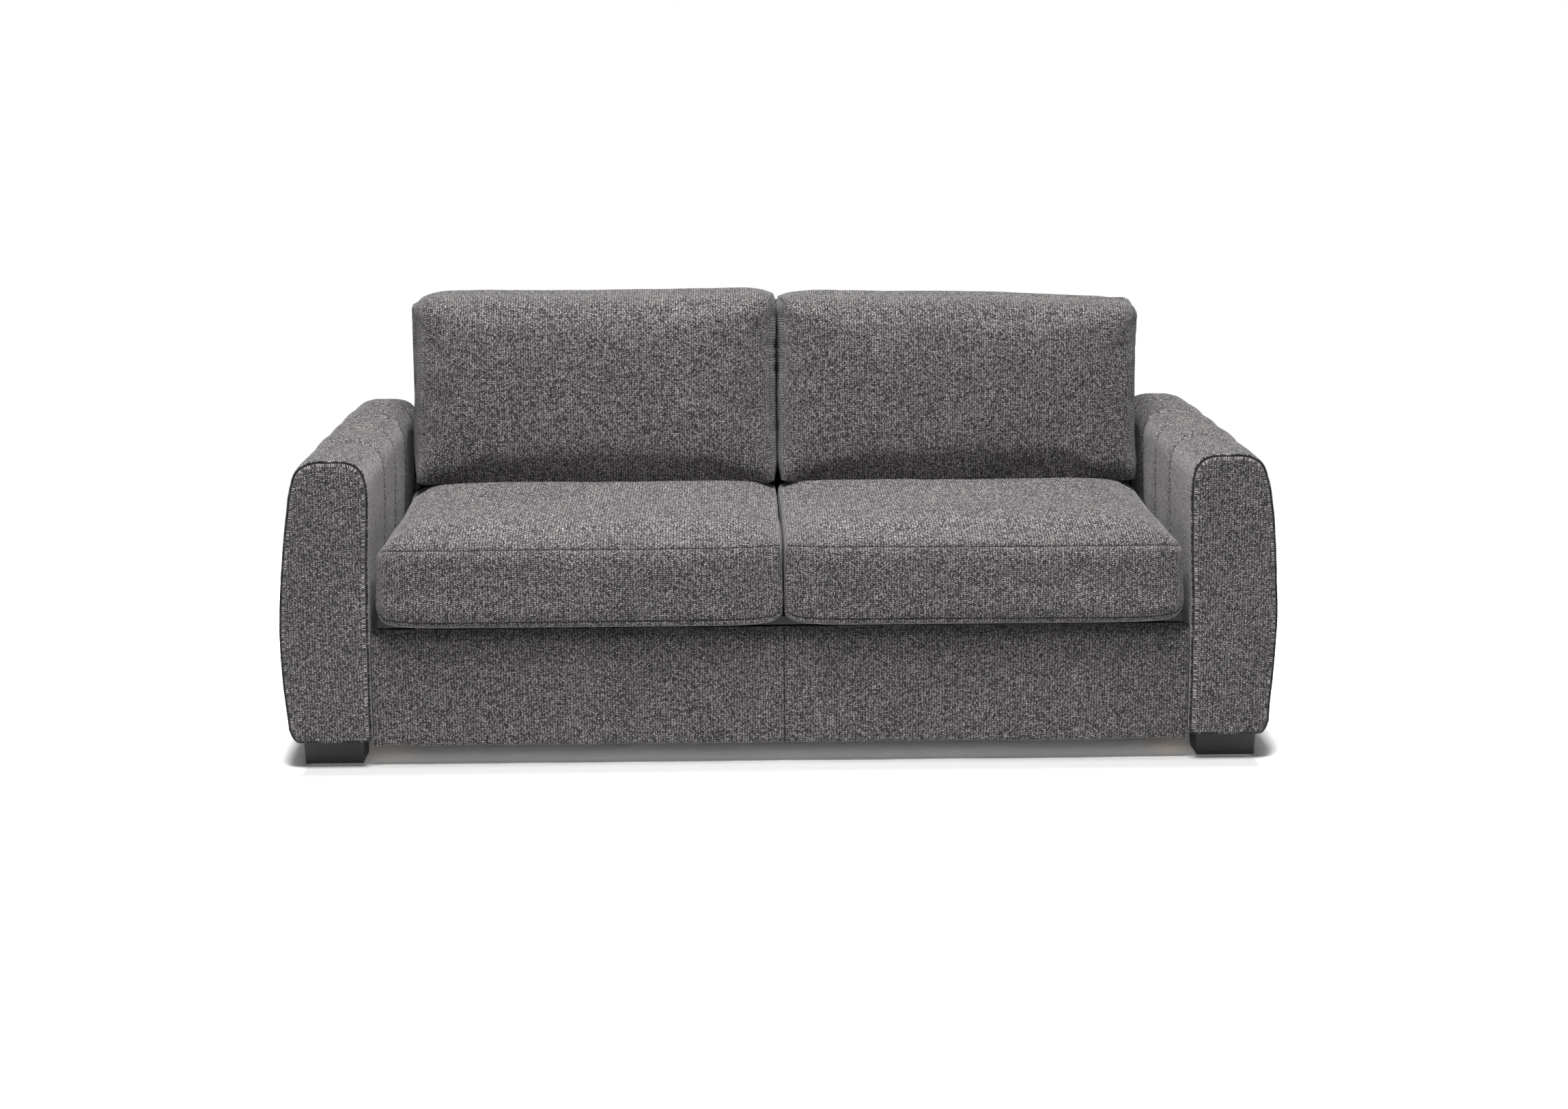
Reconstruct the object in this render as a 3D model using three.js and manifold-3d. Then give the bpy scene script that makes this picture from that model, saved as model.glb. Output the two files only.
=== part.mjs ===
import * as THREE from 'three';
import { mergeVertices } from 'three/addons/utils/BufferGeometryUtils.js';
import Module from 'manifold-3d';

// Upholstered sofa with a bed that folds out of it, in millimetres, with +Z up and +Y to the rear.
// The origin is on the floor under the middle of the sofa. Left and right are as seen from in front,
// so left is -X. The seat, the back and three mattress sections turn over to the front as one chain.

const wasm = await Module();
wasm.setup();

// Overall sizes
const seatOpening = 1676;
const armWidth = 181;
const sofaDepth = 976;
const armTop = 638;
const footHeight = 53;
const touchGap = 0.3;
const weldDistance = 0.0005;

// Arms: a plywood frame inside a foam body, with sewn channels across it
const armSetback = 27;
const armBellyOut = 22;
const armEdgeRound = 14;
const armEndRound = 8;
const armSeamDepth = 5;
const armSeamHalfWidth = 16;
const armFirstChannel = 272;
const armChannel = 186;
const armSeamCount = 4;
const armFrameThickness = 18;
const armFrameInset = 14;
const armFrameBelowTop = 76;
const armFrameEndInset = 34;
// Where the arm's outline turns, as shares of its height above the underside
const armBellyShare = 0.44;
const armShoulderShare = 0.92;
const armLowerCurveShare = 0.05;
const armInnerTurnShare = 0.88;
// Where it turns across, as shares of its greatest width
const armShoulderWidthShare = 0.87;
const armCrestOuterShare = 0.55;
const armCrestInnerShare = 0.36;

// Feet: black blocks under the arms
const footWidth = 124;
const footDepth = 85;
const footTaper = 3;
const footSideInset = 22;
const footEndInset = 43;

// Front of the base: a padded panel on a wooden rail
const frontPanelSetback = 43;
const frontPanelBottom = 42;
const frontPanelBelowDeck = 4.3;
const frontPadThickness = 13;
const railThickness = 14;
const frontRailDrop = 6;
const railBelowBed = 12;

// Back of the sofa: an upholstered panel, a rail inside it and a narrow wing on each side that
// closes the back beside the cushions
const rearPanelThickness = 40;
const rearPanelTop = 866;
const rearPanelBottom = 42;
const rearRailThickness = 20;
const rearRailHeight = 100;
const wingThickness = 17;
const wingDepth = 97;
const wingBottom = 470;
const panelRound = 5;

// Wooden side rails that carry the steel plates of the mechanism
const baseRailWidth = 36;
const baseRailAbovePlate = 18;
const plateThickness = 4;
const plateAbovePivot = 28;
const plateEndOver = 30;

// Bed sections: frames of square tube with a grid, under mattress sections
const mattressThickness = 92.7;
const mattressSideInset = 20;
const mattressRound = 22;
const bedTube = 20;
const bedBottom = 60;
const foldGap = 2;
const gridWire = 6;
const gridSink = 1;
const headFrontGap = 97.7;
const headRearInset = 88;
const headOverhang = 20;
const footLength = 575;
const backFoldInset = 213;
const sectionEndGap = 5;

// Hinges between the sections
const unfoldPivotAhead = 5;
const lugThickness = 4;
const lugSideGap = 2;
const lugRadius = 18;
const lugFoot = 30;
const foldPivotBehind = 5;
const foldLugRadius = 16;
const backLeanDegrees = 6;
const pinRadius = 6;
const pinClearance = 0.3;
const collarRadius = 10;
const pinHead = 5;

// Swing arms that lift the head section out over the front rail
const swingThickness = 6;
const swingHalfHeight = 15;
const frontSwingGap = 17.7;
const rearLiftInset = 100;
const swingEndGap = 100;
const swingSideGap = 14;
const platePlay = 7.7;
const torsionTubeRadius = 11;
const stopTabLength = 30;
const stopTabThickness = 4;
const stopTabFromTip = 60;

// Seat and back that ride on the bed sections
const deckThickness = 17.7;
const deckFrontInset = 48;
const deckSideGap = 16;
const boardThickness = 10;
const boardStart = 60;
const boardSideGap = 38;
const seatCushionSideGap = 12;
const cushionMiddleGap = 1;
const seatCushionShort = 80;
const seatCushionEdge = 152;
const seatCrown = 31;
const seatBulge = 14;
const seatCornerRound = 30;
const backCushionSideGap = 30;
const backCushionFootGap = 1.5;
const backCushionOver = 40;
const backCushionThickness = 196;
const backCrown = 22;
const backEndSwell = 8;
const backCornerRound = 44;
const cushionDrawIn = 4;

// Folding legs under the middle and the foot section
const legThickness = 6;
const legHalfWidth = 13;
const legFloorGap = 1;
const middleLegSideGap = 3.5;
const footLegSideGap = 20;
const legCapLength = 14;
const legCapOver = 1;
const legPinRadius = 5;
const middleLegInset = 20;
const footLegInset = 30;

// Pull strap at the end of the foot section
const strapWidth = 120;
const strapLength = 28;
const strapThickness = 4;

// Wires in each bed frame's grid
const gridAlong = 7;
const gridAcross = 3;

// How finely round things are stepped
const roundSteps = 14;
const curveSteps = 6;
const edgeStepShare = 0.3;

// Places that follow from the sizes above
const sofaFront = -sofaDepth / 2;
const sofaRear = sofaDepth / 2;
const armInner = seatOpening / 2;
const armFront = sofaFront + armSetback;
const armFootWidth = armWidth - armBellyOut;
const armFrameTop = armTop - armFrameBelowTop;
const armHeight = armTop - footHeight;
const betweenArms = armInner - touchGap;
const frontPanelFront = sofaFront + frontPanelSetback;
const frontRailFront = frontPanelFront + frontPadThickness + touchGap;
const frontRailRear = frontRailFront + railThickness;
const rearPanelFront = sofaRear - rearPanelThickness;
const rearRailFront = rearPanelFront - touchGap - rearRailThickness;
const baseRailInner = armInner - baseRailWidth;
const plateOuter = baseRailInner - touchGap;
const plateInner = plateOuter - plateThickness;
const swingOuter = plateInner - platePlay;
const swingInner = swingOuter - swingThickness;
const pivotZ = bedBottom + bedTube / 2;
const railBottom = bedBottom - railBelowBed;
const plateTop = pivotZ + plateAbovePivot;
const baseRailTop = plateTop + baseRailAbovePlate;
const innerFrameWidth = 2 * (swingInner - swingSideGap);
const outerFrameWidth = innerFrameWidth + 2 * (lugThickness + lugSideGap);
const mattressWidth = innerFrameWidth - 2 * mattressSideInset;
const headFront = frontRailRear + headFrontGap;
const headRear = sofaRear - headRearInset;
const headFrameFront = headFront + headOverhang;
const frontSwingY = frontRailRear + frontSwingGap;
const swingLength = (headRear - rearLiftInset - frontSwingY - swingEndGap) / 2;
const rearSwingY = headRear - rearLiftInset - swingLength;
const plateRear = rearSwingY + swingLength + plateEndOver;
const unfoldY = headFront - unfoldPivotAhead;
const unfoldZ = bedBottom + bedTube + touchGap + mattressThickness + foldGap;
const middleFrameBottom = 2 * unfoldZ - bedBottom - bedTube;
const middleFrameTop = middleFrameBottom + bedTube;
const foldY = sofaRear - backFoldInset;
const foldZ = middleFrameBottom + bedTube / 2;
const middleRear = foldY - foldPivotBehind;
const middleFrameRear = middleRear - bedTube + sectionEndGap;
const footFrameStart = bedTube;
const footEnd = sectionEndGap + footLength;
const footFrameEnd = footEnd - sectionEndGap;
const deckBottom = middleFrameTop + touchGap;
const deckTop = deckBottom + deckThickness;
const deckRear = middleFrameRear - bedTube - touchGap;
const frontPanelTop = deckBottom - frontPanelBelowDeck;
const frontRailTop = frontPanelTop - frontRailDrop;
const boardBottom = bedTube / 2 + touchGap;
const boardTop = boardBottom + boardThickness;
const boardEnd = footFrameEnd - sectionEndGap;
const boardWidth = 2 * (armInner - boardSideGap);
const seatCushionRear = middleRear - seatCushionShort;
const seatTop = deckTop + touchGap + seatCushionEdge + seatCrown;
const backLean = THREE.MathUtils.degToRad(backLeanDegrees);
const backCushionStart = (seatTop - foldZ) / Math.cos(backLean) + backCushionFootGap;
const backCushionEnd = footEnd + backCushionOver;
const middleLegOuter = armInner - middleLegSideGap;
const footLegOuter = armInner - footLegSideGap;
const legReach = 2 * unfoldZ + swingLength - foldZ - legFloorGap;
const middleLegY = middleFrameRear - middleLegInset;
const footLegS = footFrameEnd - footLegInset;

const sides = [['left', -1], ['right', 1]];

// Materials
const fabric = { color: 0x4b494b, roughness: 0.95, metalness: 0 };
const darkFabric = { color: 0x3a393b, roughness: 0.95, metalness: 0 };
const ticking = { color: 0xd9d6cf, roughness: 0.9, metalness: 0 };
const plywood = { color: 0xb58f62, roughness: 0.7, metalness: 0 };
const blackPlastic = { color: 0x1c1c1e, roughness: 0.45, metalness: 0 };
const greySteel = { color: 0x6d7176, roughness: 0.4, metalness: 0.8 };
const brightSteel = { color: 0xb4b8bc, roughness: 0.3, metalness: 1 };
const blackRubber = { color: 0x161616, roughness: 0.85, metalness: 0 };

const sofa = new THREE.Group();

// Merges shared corners and turns the faces outwards
function tidy(geometry) {
  const plain = geometry.clone();
  plain.deleteAttribute('normal');
  plain.deleteAttribute('uv');
  const merged = mergeVertices(plain, weldDistance);
  const index = merged.index.array;
  const position = merged.attributes.position;
  const a = new THREE.Vector3();
  const b = new THREE.Vector3();
  const c = new THREE.Vector3();
  let volume = 0;
  for (let i = 0; i < index.length; i += 3) {
    a.fromBufferAttribute(position, index[i]);
    b.fromBufferAttribute(position, index[i + 1]);
    c.fromBufferAttribute(position, index[i + 2]);
    volume += a.dot(b.cross(c));
  }
  if (volume < 0) {
    for (let i = 0; i < index.length; i += 3) {
      const swap = index[i];
      index[i] = index[i + 1];
      index[i + 1] = swap;
    }
  }
  return merged;
}

function add(name, geometry, material, parent = sofa) {
  const mesh = new THREE.Mesh(tidy(geometry), new THREE.MeshStandardMaterial(material));
  mesh.name = name;
  parent.add(mesh);
}

function mirror(geometry) {
  const copy = geometry.clone();
  copy.scale(-1, 1, 1);
  return copy;
}

// A piece made for the right side, and its mirror image for the left
function addPair(name, geometry, material, parent = sofa) {
  for (const [side, sign] of sides) {
    add(`${name}_${side}`, sign > 0 ? geometry : mirror(geometry), material, parent);
  }
}

function toSolid(geometry) {
  const merged = tidy(geometry);
  const vertProperties = new Float32Array(merged.attributes.position.array);
  const triVerts = new Uint32Array(merged.index.array);
  return new wasm.Manifold(new wasm.Mesh({ numProp: 3, vertProperties, triVerts }));
}

function toGeometry(solid) {
  const mesh = solid.getMesh();
  const geometry = new THREE.BufferGeometry();
  geometry.setAttribute('position', new THREE.BufferAttribute(mesh.vertProperties, 3));
  geometry.setIndex(new THREE.BufferAttribute(mesh.triVerts, 1));
  return geometry;
}

function join(...geometries) {
  return toGeometry(geometries.map(toSolid).reduce((whole, next) => whole.add(next)));
}

function cut(geometry, ...tools) {
  return toGeometry(tools.map(toSolid).reduce((whole, next) => whole.subtract(next), toSolid(geometry)));
}

// A block between two corners
function block(x, y, z) {
  const geometry = new THREE.BoxGeometry(x[1] - x[0], y[1] - y[0], z[1] - z[0]);
  geometry.translate((x[0] + x[1]) / 2, (y[0] + y[1]) / 2, (z[0] + z[1]) / 2);
  return geometry;
}

// A flat plate across X from an outline in Y and Z, with round holes
function plate(x, outline, holes) {
  const shape = new THREE.Shape(outline.map(([y, z]) => new THREE.Vector2(y, z)));
  for (const [y, z, radius] of holes) {
    const hole = new THREE.Path();
    hole.absarc(y, z, radius, 0, 2 * Math.PI, true);
    shape.holes.push(hole);
  }
  const options = { depth: x[1] - x[0], bevelEnabled: false, curveSegments: roundSteps / 2 };
  const geometry = new THREE.ExtrudeGeometry(shape, options);
  geometry.rotateX(Math.PI / 2);
  geometry.rotateZ(Math.PI / 2);
  geometry.translate(x[0], 0, 0);
  return geometry;
}

// Points of a round end about a centre, from one angle to another
function arcPoints(y, z, radius, from, to) {
  const points = [];
  const steps = Math.max(2, Math.round(Math.abs(to - from) / (2 * Math.PI) * roundSteps));
  for (let i = 0; i <= steps; i += 1) {
    const angle = from + (to - from) * i / steps;
    points.push([y + radius * Math.cos(angle), z + radius * Math.sin(angle)]);
  }
  return points;
}

// A turned pin along X: stretches of [from, to, radius]
function pin(stretches, y, z) {
  const profile = [new THREE.Vector2(0, stretches[0][0])];
  for (const [from, to, radius] of stretches) {
    profile.push(new THREE.Vector2(radius, from), new THREE.Vector2(radius, to));
  }
  profile.push(new THREE.Vector2(0, stretches[stretches.length - 1][1]));
  const geometry = new THREE.LatheGeometry(profile, roundSteps);
  geometry.rotateZ(-Math.PI / 2);
  geometry.translate(0, y, z);
  return geometry;
}

// Grid lines across a soft block: close together at its rounded edges, even between them
function gridLines(low, high, round, count) {
  const lines = [low, low + round * edgeStepShare];
  for (let i = 0; i <= count; i += 1) {
    lines.push(low + round + (high - low - 2 * round) * i / count);
  }
  lines.push(high - round * edgeStepShare, high);
  return lines;
}

// A soft block with rounded edges, whose form function moves each point of its skin.
// The form gets the point and its place along each side, from -1 to 1.
function softBlock({ low, high, round, counts, form }) {
  const lines = [0, 1, 2].map((axis) => gridLines(low[axis], high[axis], round, counts[axis]));
  const corners = [];
  const place = (point) => {
    const core = point.map((value, axis) => Math.min(Math.max(value, low[axis] + round), high[axis] - round));
    const out = point.map((value, axis) => value - core[axis]);
    const reach = Math.hypot(...out);
    const rounded = core.map((value, axis) => value + round * out[axis] / reach);
    const along = rounded.map((value, axis) => (2 * value - low[axis] - high[axis]) / (high[axis] - low[axis]));
    return form ? form(rounded, along) : rounded;
  };
  for (let axis = 0; axis < 3; axis += 1) {
    const across = (axis + 1) % 3;
    const up = (axis + 2) % 3;
    for (const end of [0, 1]) {
      for (let i = 0; i + 1 < lines[across].length; i += 1) {
        for (let j = 0; j + 1 < lines[up].length; j += 1) {
          const quad = [[i, j], [i + 1, j], [i + 1, j + 1], [i, j + 1]].map(([s, t]) => {
            const point = [0, 0, 0];
            point[axis] = end ? high[axis] : low[axis];
            point[across] = lines[across][s];
            point[up] = lines[up][t];
            return place(point);
          });
          const [a, b, c, d] = end ? quad : [quad[3], quad[2], quad[1], quad[0]];
          corners.push(...a, ...b, ...c, ...a, ...c, ...d);
        }
      }
    }
  }
  const geometry = new THREE.BufferGeometry();
  geometry.setAttribute('position', new THREE.Float32BufferAttribute(corners, 3));
  return geometry;
}

// A skin through equal rings of points, with a flat fan over each end
function loft(rings) {
  const corners = [];
  const count = rings[0].length;
  for (let k = 0; k + 1 < rings.length; k += 1) {
    for (let i = 0; i < count; i += 1) {
      const j = (i + 1) % count;
      corners.push(...rings[k][i], ...rings[k][j], ...rings[k + 1][j]);
      corners.push(...rings[k][i], ...rings[k + 1][j], ...rings[k + 1][i]);
    }
  }
  for (const [ring, turned] of [[rings[0], true], [rings[rings.length - 1], false]]) {
    const middle = [0, 1, 2].map((axis) => ring.reduce((sum, point) => sum + point[axis], 0) / count);
    for (let i = 0; i < count; i += 1) {
      const j = (i + 1) % count;
      const [first, second] = turned ? [ring[j], ring[i]] : [ring[i], ring[j]];
      corners.push(...middle, ...first, ...second);
    }
  }
  const geometry = new THREE.BufferGeometry();
  geometry.setAttribute('position', new THREE.Float32BufferAttribute(corners, 3));
  return geometry;
}

// The arm's outline, across from its inner face and up from its underside: a straight inner
// face, a belly on the outer side and a round crest
function armOutline() {
  const shape = new THREE.Shape();
  const belly = armHeight * armBellyShare;
  const shoulder = armHeight * armShoulderShare;
  const shoulderWidth = armWidth * armShoulderWidthShare;
  const crestOuter = armWidth * armCrestOuterShare;
  const crestInner = armWidth * armCrestInnerShare;
  const innerTurn = armHeight * armInnerTurnShare;
  const lowTurn = armHeight * armLowerCurveShare;
  shape.moveTo(armEdgeRound, 0);
  shape.lineTo(armFootWidth - armEdgeRound, 0);
  shape.quadraticCurveTo(armFootWidth, 0, armFootWidth + armEdgeRound / 2, lowTurn);
  shape.bezierCurveTo(armWidth - armEdgeRound, belly / 3, armWidth, belly * 2 / 3, armWidth, belly);
  shape.bezierCurveTo(armWidth, (belly + shoulder) / 2, (armWidth + shoulderWidth) / 2, shoulder - lowTurn,
    shoulderWidth, shoulder);
  shape.bezierCurveTo(shoulderWidth - armEdgeRound / 2, armHeight - armEdgeRound,
    shoulderWidth - armEdgeRound * 2, armHeight - armEdgeRound / 4, crestOuter, armHeight);
  shape.lineTo(crestInner, armHeight);
  shape.bezierCurveTo(crestInner / 3, armHeight, 0, armHeight - lowTurn / 2, 0, innerTurn);
  shape.lineTo(0, armEdgeRound);
  shape.quadraticCurveTo(0, 0, armEdgeRound, 0);
  const points = shape.getPoints(curveSteps);
  points.pop();
  return points;
}

// Foam and fabric of one arm, drawn in at each sewn seam and at both ends
function armBody() {
  const outline = armOutline();
  const count = outline.length;
  const inwards = outline.map((point, i) => {
    const before = outline[(i + count - 1) % count];
    const after = outline[(i + 1) % count];
    return new THREE.Vector2(before.y - after.y, after.x - before.x).normalize();
  });
  const ring = (y, inset, isEnd) => outline.map((point, i) => {
    const held = isEnd ? 1 : Math.min(1, point.y / armFootWidth);
    const x = armInner + point.x + inwards[i].x * inset * held;
    return [x, y, footHeight + point.y + inwards[i].y * inset * held];
  });
  const rings = [ring(armFront, armEndRound, true), ring(armFront + armEndRound, 0, false)];
  for (let k = 0; k < armSeamCount; k += 1) {
    const y = armFront + armFirstChannel + k * armChannel;
    rings.push(ring(y - armSeamHalfWidth, 0, false));
    rings.push(ring(y, armSeamDepth, false));
    rings.push(ring(y + armSeamHalfWidth, 0, false));
  }
  rings.push(ring(sofaRear - armEndRound, 0, false), ring(sofaRear, armEndRound, true));
  return loft(rings);
}

function buildArms() {
  const inner = armInner + armFrameInset;
  const outer = inner + armFrameThickness;
  const front = armFront + armFrameEndInset;
  const rear = sofaRear - armFrameEndInset;
  const frame = block([inner, outer], [front, rear], [footHeight + touchGap, armFrameTop]);
  const pocket = block([inner - touchGap, outer + touchGap], [front - touchGap, rear + touchGap],
    [footHeight - armEdgeRound, armFrameTop + touchGap]);
  addPair('arm', cut(armBody(), pocket), fabric);
  addPair('arm_frame', frame, plywood);
}

// A foot block, a little narrower at the floor
function footBlock(y) {
  const inner = armInner + footSideInset;
  const geometry = block([inner, inner + footWidth], [y, y + footDepth], [0, footHeight - touchGap]);
  const position = geometry.attributes.position;
  for (let i = 0; i < position.count; i += 1) {
    if (position.getZ(i) < footHeight / 2) {
      const x = position.getX(i);
      const side = Math.sign(x - inner - footWidth / 2);
      position.setX(i, x - side * footTaper);
    }
  }
  return geometry;
}

function buildFeet() {
  addPair('foot_front', footBlock(armFront + footEndInset), blackPlastic);
  addPair('foot_rear', footBlock(sofaRear - footEndInset - footDepth), blackPlastic);
}

function roundedPanel(x, y, z) {
  return softBlock({
    low: [x[0], y[0], z[0]], high: [x[1], y[1], z[1]], round: panelRound, counts: [1, 1, 1],
  });
}

function buildBase() {
  const across = [-betweenArms, betweenArms];
  add('front_panel', roundedPanel(across, [frontPanelFront, frontPanelFront + frontPadThickness],
    [frontPanelBottom, frontPanelTop]), fabric);
  add('front_rail', block(across, [frontRailFront, frontRailRear], [railBottom, frontRailTop]), plywood);
  add('rear_panel', roundedPanel(across, [rearPanelFront, sofaRear], [rearPanelBottom, rearPanelTop]),
    fabric);
  add('rear_rail', block(across, [rearRailFront, rearPanelFront - touchGap],
    [railBottom, railBottom + rearRailHeight]), plywood);
  addPair('back_wing', roundedPanel([betweenArms - wingThickness, betweenArms],
    [rearPanelFront - touchGap - wingDepth, rearPanelFront - touchGap], [wingBottom, rearPanelTop]), fabric);
  addPair('base_rail', block([baseRailInner, betweenArms], [frontRailRear + touchGap, rearRailFront - touchGap],
    [railBottom, baseRailTop]), plywood);
}

// The steel side plate, with a hole for each swing arm's pivot and a tab that each arm rests on
function sidePlate() {
  const front = frontRailRear + touchGap;
  const hole = pinRadius + pinClearance;
  const outline = [[front, railBottom], [plateRear, railBottom], [plateRear, plateTop], [front, plateTop]];
  const body = plate([plateInner, plateOuter], outline,
    [[frontSwingY, pivotZ, hole], [rearSwingY, pivotZ, hole]]);
  const tabTop = pivotZ - swingHalfHeight - touchGap;
  const tabs = [frontSwingY, rearSwingY].map((y) => {
    const tabRear = y + swingLength - stopTabFromTip;
    return block([swingInner, plateInner + plateThickness / 2], [tabRear - stopTabLength, tabRear],
      [tabTop - stopTabThickness, tabTop]);
  });
  return join(body, ...tabs);
}

function swingArm(y) {
  const hole = pinRadius + pinClearance;
  const outline = [
    ...arcPoints(y, pivotZ, swingHalfHeight, Math.PI / 2, Math.PI * 3 / 2),
    ...arcPoints(y + swingLength, pivotZ, swingHalfHeight, -Math.PI / 2, Math.PI / 2),
  ];
  return plate([swingInner, swingOuter], outline, [[y, pivotZ, hole], [y + swingLength, pivotZ, hole]]);
}

function buildMechanism() {
  addPair('mechanism_plate', sidePlate(), greySteel);
  for (const [end, y] of [['front', frontSwingY], ['rear', rearSwingY]]) {
    addPair(`${end}_swing_arm`, swingArm(y), greySteel);
    addPair(`${end}_base_pin`, pin([
      [swingInner + touchGap, swingOuter + touchGap, pinRadius],
      [swingOuter + touchGap, plateInner - touchGap, collarRadius],
      [plateInner - touchGap, plateOuter - touchGap, pinRadius],
    ], y, pivotZ), brightSteel);
    addPair(`${end}_lift_pin`, pin([
      [innerFrameWidth / 2 + touchGap, swingInner - touchGap, collarRadius],
      [swingInner - touchGap, swingOuter + touchGap, pinRadius],
    ], y + swingLength, pivotZ), brightSteel);
  }
  const tube = new THREE.CylinderGeometry(torsionTubeRadius, torsionTubeRadius,
    2 * (swingInner - touchGap), roundSteps);
  tube.rotateZ(Math.PI / 2);
  tube.translate(0, frontSwingY, pivotZ);
  add('torsion_tube', tube, greySteel);
}

// A bed frame: a rectangle of square tube with a grid of wires let in just under one face.
// gridSide is 1 where the mattress lies on the top face and -1 where it lies on the lower one.
function bedFrame(width, y, z, gridSide, wiresAlong, wiresAcross) {
  const outer = width / 2;
  const inner = outer - bedTube;
  const rim = cut(block([-outer, outer], y, z),
    block([-inner, inner], [y[0] + bedTube, y[1] - bedTube], [z[0] - bedTube, z[1] + bedTube]));
  const pieces = [rim];
  const wireTop = gridSide > 0 ? z[1] - gridSink : z[0] + gridSink + gridWire;
  const wireZ = [wireTop - gridWire, wireTop];
  for (let i = 1; i <= wiresAlong; i += 1) {
    const x = -inner + 2 * inner * i / (wiresAlong + 1);
    pieces.push(block([x - gridWire / 2, x + gridWire / 2], [y[0] + bedTube / 2, y[1] - bedTube / 2], wireZ));
  }
  for (let i = 1; i <= wiresAcross; i += 1) {
    const middle = y[0] + (y[1] - y[0]) * i / (wiresAcross + 1);
    pieces.push(block([-inner - bedTube / 2, inner + bedTube / 2],
      [middle - gridWire / 2, middle + gridWire / 2], wireZ));
  }
  return join(...pieces);
}

// A hinge lug: a plate from a foot on the frame to a round eye about the pivot
function lug(x, foot, y, z, radius, from, to) {
  const outline = [...foot, ...arcPoints(y, z, radius, from, to)];
  return plate(x, outline, [[y, z, pinRadius + pinClearance]]);
}

function bothSides(geometry) {
  return [geometry, mirror(geometry)];
}

function buildHeadSection() {
  const top = bedBottom + bedTube;
  const outer = innerFrameWidth / 2;
  const foot = [[headFrameFront, bedBottom], [headFrameFront + lugFoot, bedBottom],
    [headFrameFront + lugFoot, top]];
  const unfoldLug = lug([outer - lugThickness, outer], foot, unfoldY, unfoldZ, lugRadius,
    0, Math.PI);
  add('head_bed_frame', join(bedFrame(innerFrameWidth, [headFrameFront, headRear], [bedBottom, top], 1,
    gridAlong, gridAcross), ...bothSides(unfoldLug)), greySteel);
  addMattress('mattress_head', [headFront, headRear], top + touchGap, sofa);
  addPair('unfold_pin', pin([
    [outer - lugThickness - touchGap - pinHead, outer - lugThickness - touchGap, collarRadius],
    [outer - lugThickness - touchGap, outerFrameWidth / 2 + touchGap, pinRadius],
  ], unfoldY, unfoldZ), brightSteel);
}

// A mattress section: foam in a cover, lying between two ends from a lower face upwards
function addMattress(name, y, low, parent) {
  add(name, softBlock({
    low: [-mattressWidth / 2, y[0], low],
    high: [mattressWidth / 2, y[1], low + mattressThickness],
    round: mattressRound,
    counts: [1, 1, 1],
  }), ticking, parent);
}

// A seat cushion on the right: crowned, with a bulging front and sides drawn in between its corners
function seatCushion() {
  const low = [cushionMiddleGap, sofaFront + seatBulge, deckTop + touchGap];
  const high = [armInner - seatCushionSideGap, seatCushionRear, deckTop + touchGap + seatCushionEdge];
  return softBlock({
    low,
    high,
    round: seatCornerRound,
    counts: [6, 6, 2],
    form: ([x, y, z], [u, v, w]) => {
      const lift = (w + 1) / 2;
      const crown = seatCrown * lift * (1 - u ** 4) * (1 - v ** 4);
      const bulge = v < 0 ? seatBulge * v * v * (1 - u ** 4) * (1 - w ** 2) : 0;
      const drawIn = cushionDrawIn * u * (1 - v * v);
      return [x - drawIn, y - bulge, z + crown];
    },
  });
}

function buildSeatSection() {
  const outer = outerFrameWidth / 2;
  const z = [middleFrameBottom, middleFrameTop];
  const foot = [[headFront + lugFoot, middleFrameTop], [headFront, middleFrameTop]];
  const unfoldLug = lug([outer - lugThickness, outer], foot, unfoldY, unfoldZ, lugRadius,
    Math.PI, 2 * Math.PI);
  const rearFoot = [[middleFrameRear - bedTube, foldZ + bedTube / 4],
    [middleFrameRear - bedTube, foldZ - bedTube / 4]];
  const foldLug = lug([outer - lugThickness, outer], rearFoot, foldY, foldZ, foldLugRadius,
    -Math.PI / 2, Math.PI / 2);
  add('seat_bed_frame', join(bedFrame(outerFrameWidth, [headFront, middleFrameRear], z, -1,
    gridAlong, gridAcross), ...bothSides(unfoldLug), ...bothSides(foldLug)), greySteel);
  addMattress('mattress_middle', [headFront, middleRear],
    middleFrameBottom - touchGap - mattressThickness, sofa);
  const deckHalf = armInner - deckSideGap;
  add('seat_deck', block([-deckHalf, deckHalf], [sofaFront + deckFrontInset, deckRear],
    [deckBottom, deckTop]), darkFabric);
  addPair('seat_cushion', seatCushion(), fabric);
  addPair('fold_pin', pin([
    [innerFrameWidth / 2 - lugThickness - touchGap - pinHead, innerFrameWidth / 2 - lugThickness - touchGap,
      collarRadius],
    [innerFrameWidth / 2 - lugThickness - touchGap, outer + touchGap, pinRadius],
  ], foldY, foldZ), brightSteel);
  addPair('middle_leg_pin', legPin(outer, middleLegOuter, middleLegY, foldZ), brightSteel);
}

// The pin that a folding leg turns on, from the frame's side out to the leg
function legPin(frameSide, legOuter, y, z) {
  const legInner = legOuter - legThickness;
  return pin([
    [frameSide + touchGap, legInner - touchGap, collarRadius],
    [legInner - touchGap, legOuter + touchGap, legPinRadius],
  ], y, z);
}

// A folding leg on the right, lying along its frame from its pivot towards a lower Y
function foldingLeg(legOuter, y, z) {
  const tip = y - legReach + legCapLength + touchGap;
  const outline = [
    [tip, z + legHalfWidth], [tip, z - legHalfWidth],
    ...arcPoints(y, z, legHalfWidth, -Math.PI / 2, Math.PI / 2),
  ];
  return plate([legOuter - legThickness, legOuter], outline, [[y, z, legPinRadius + pinClearance]]);
}

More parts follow.
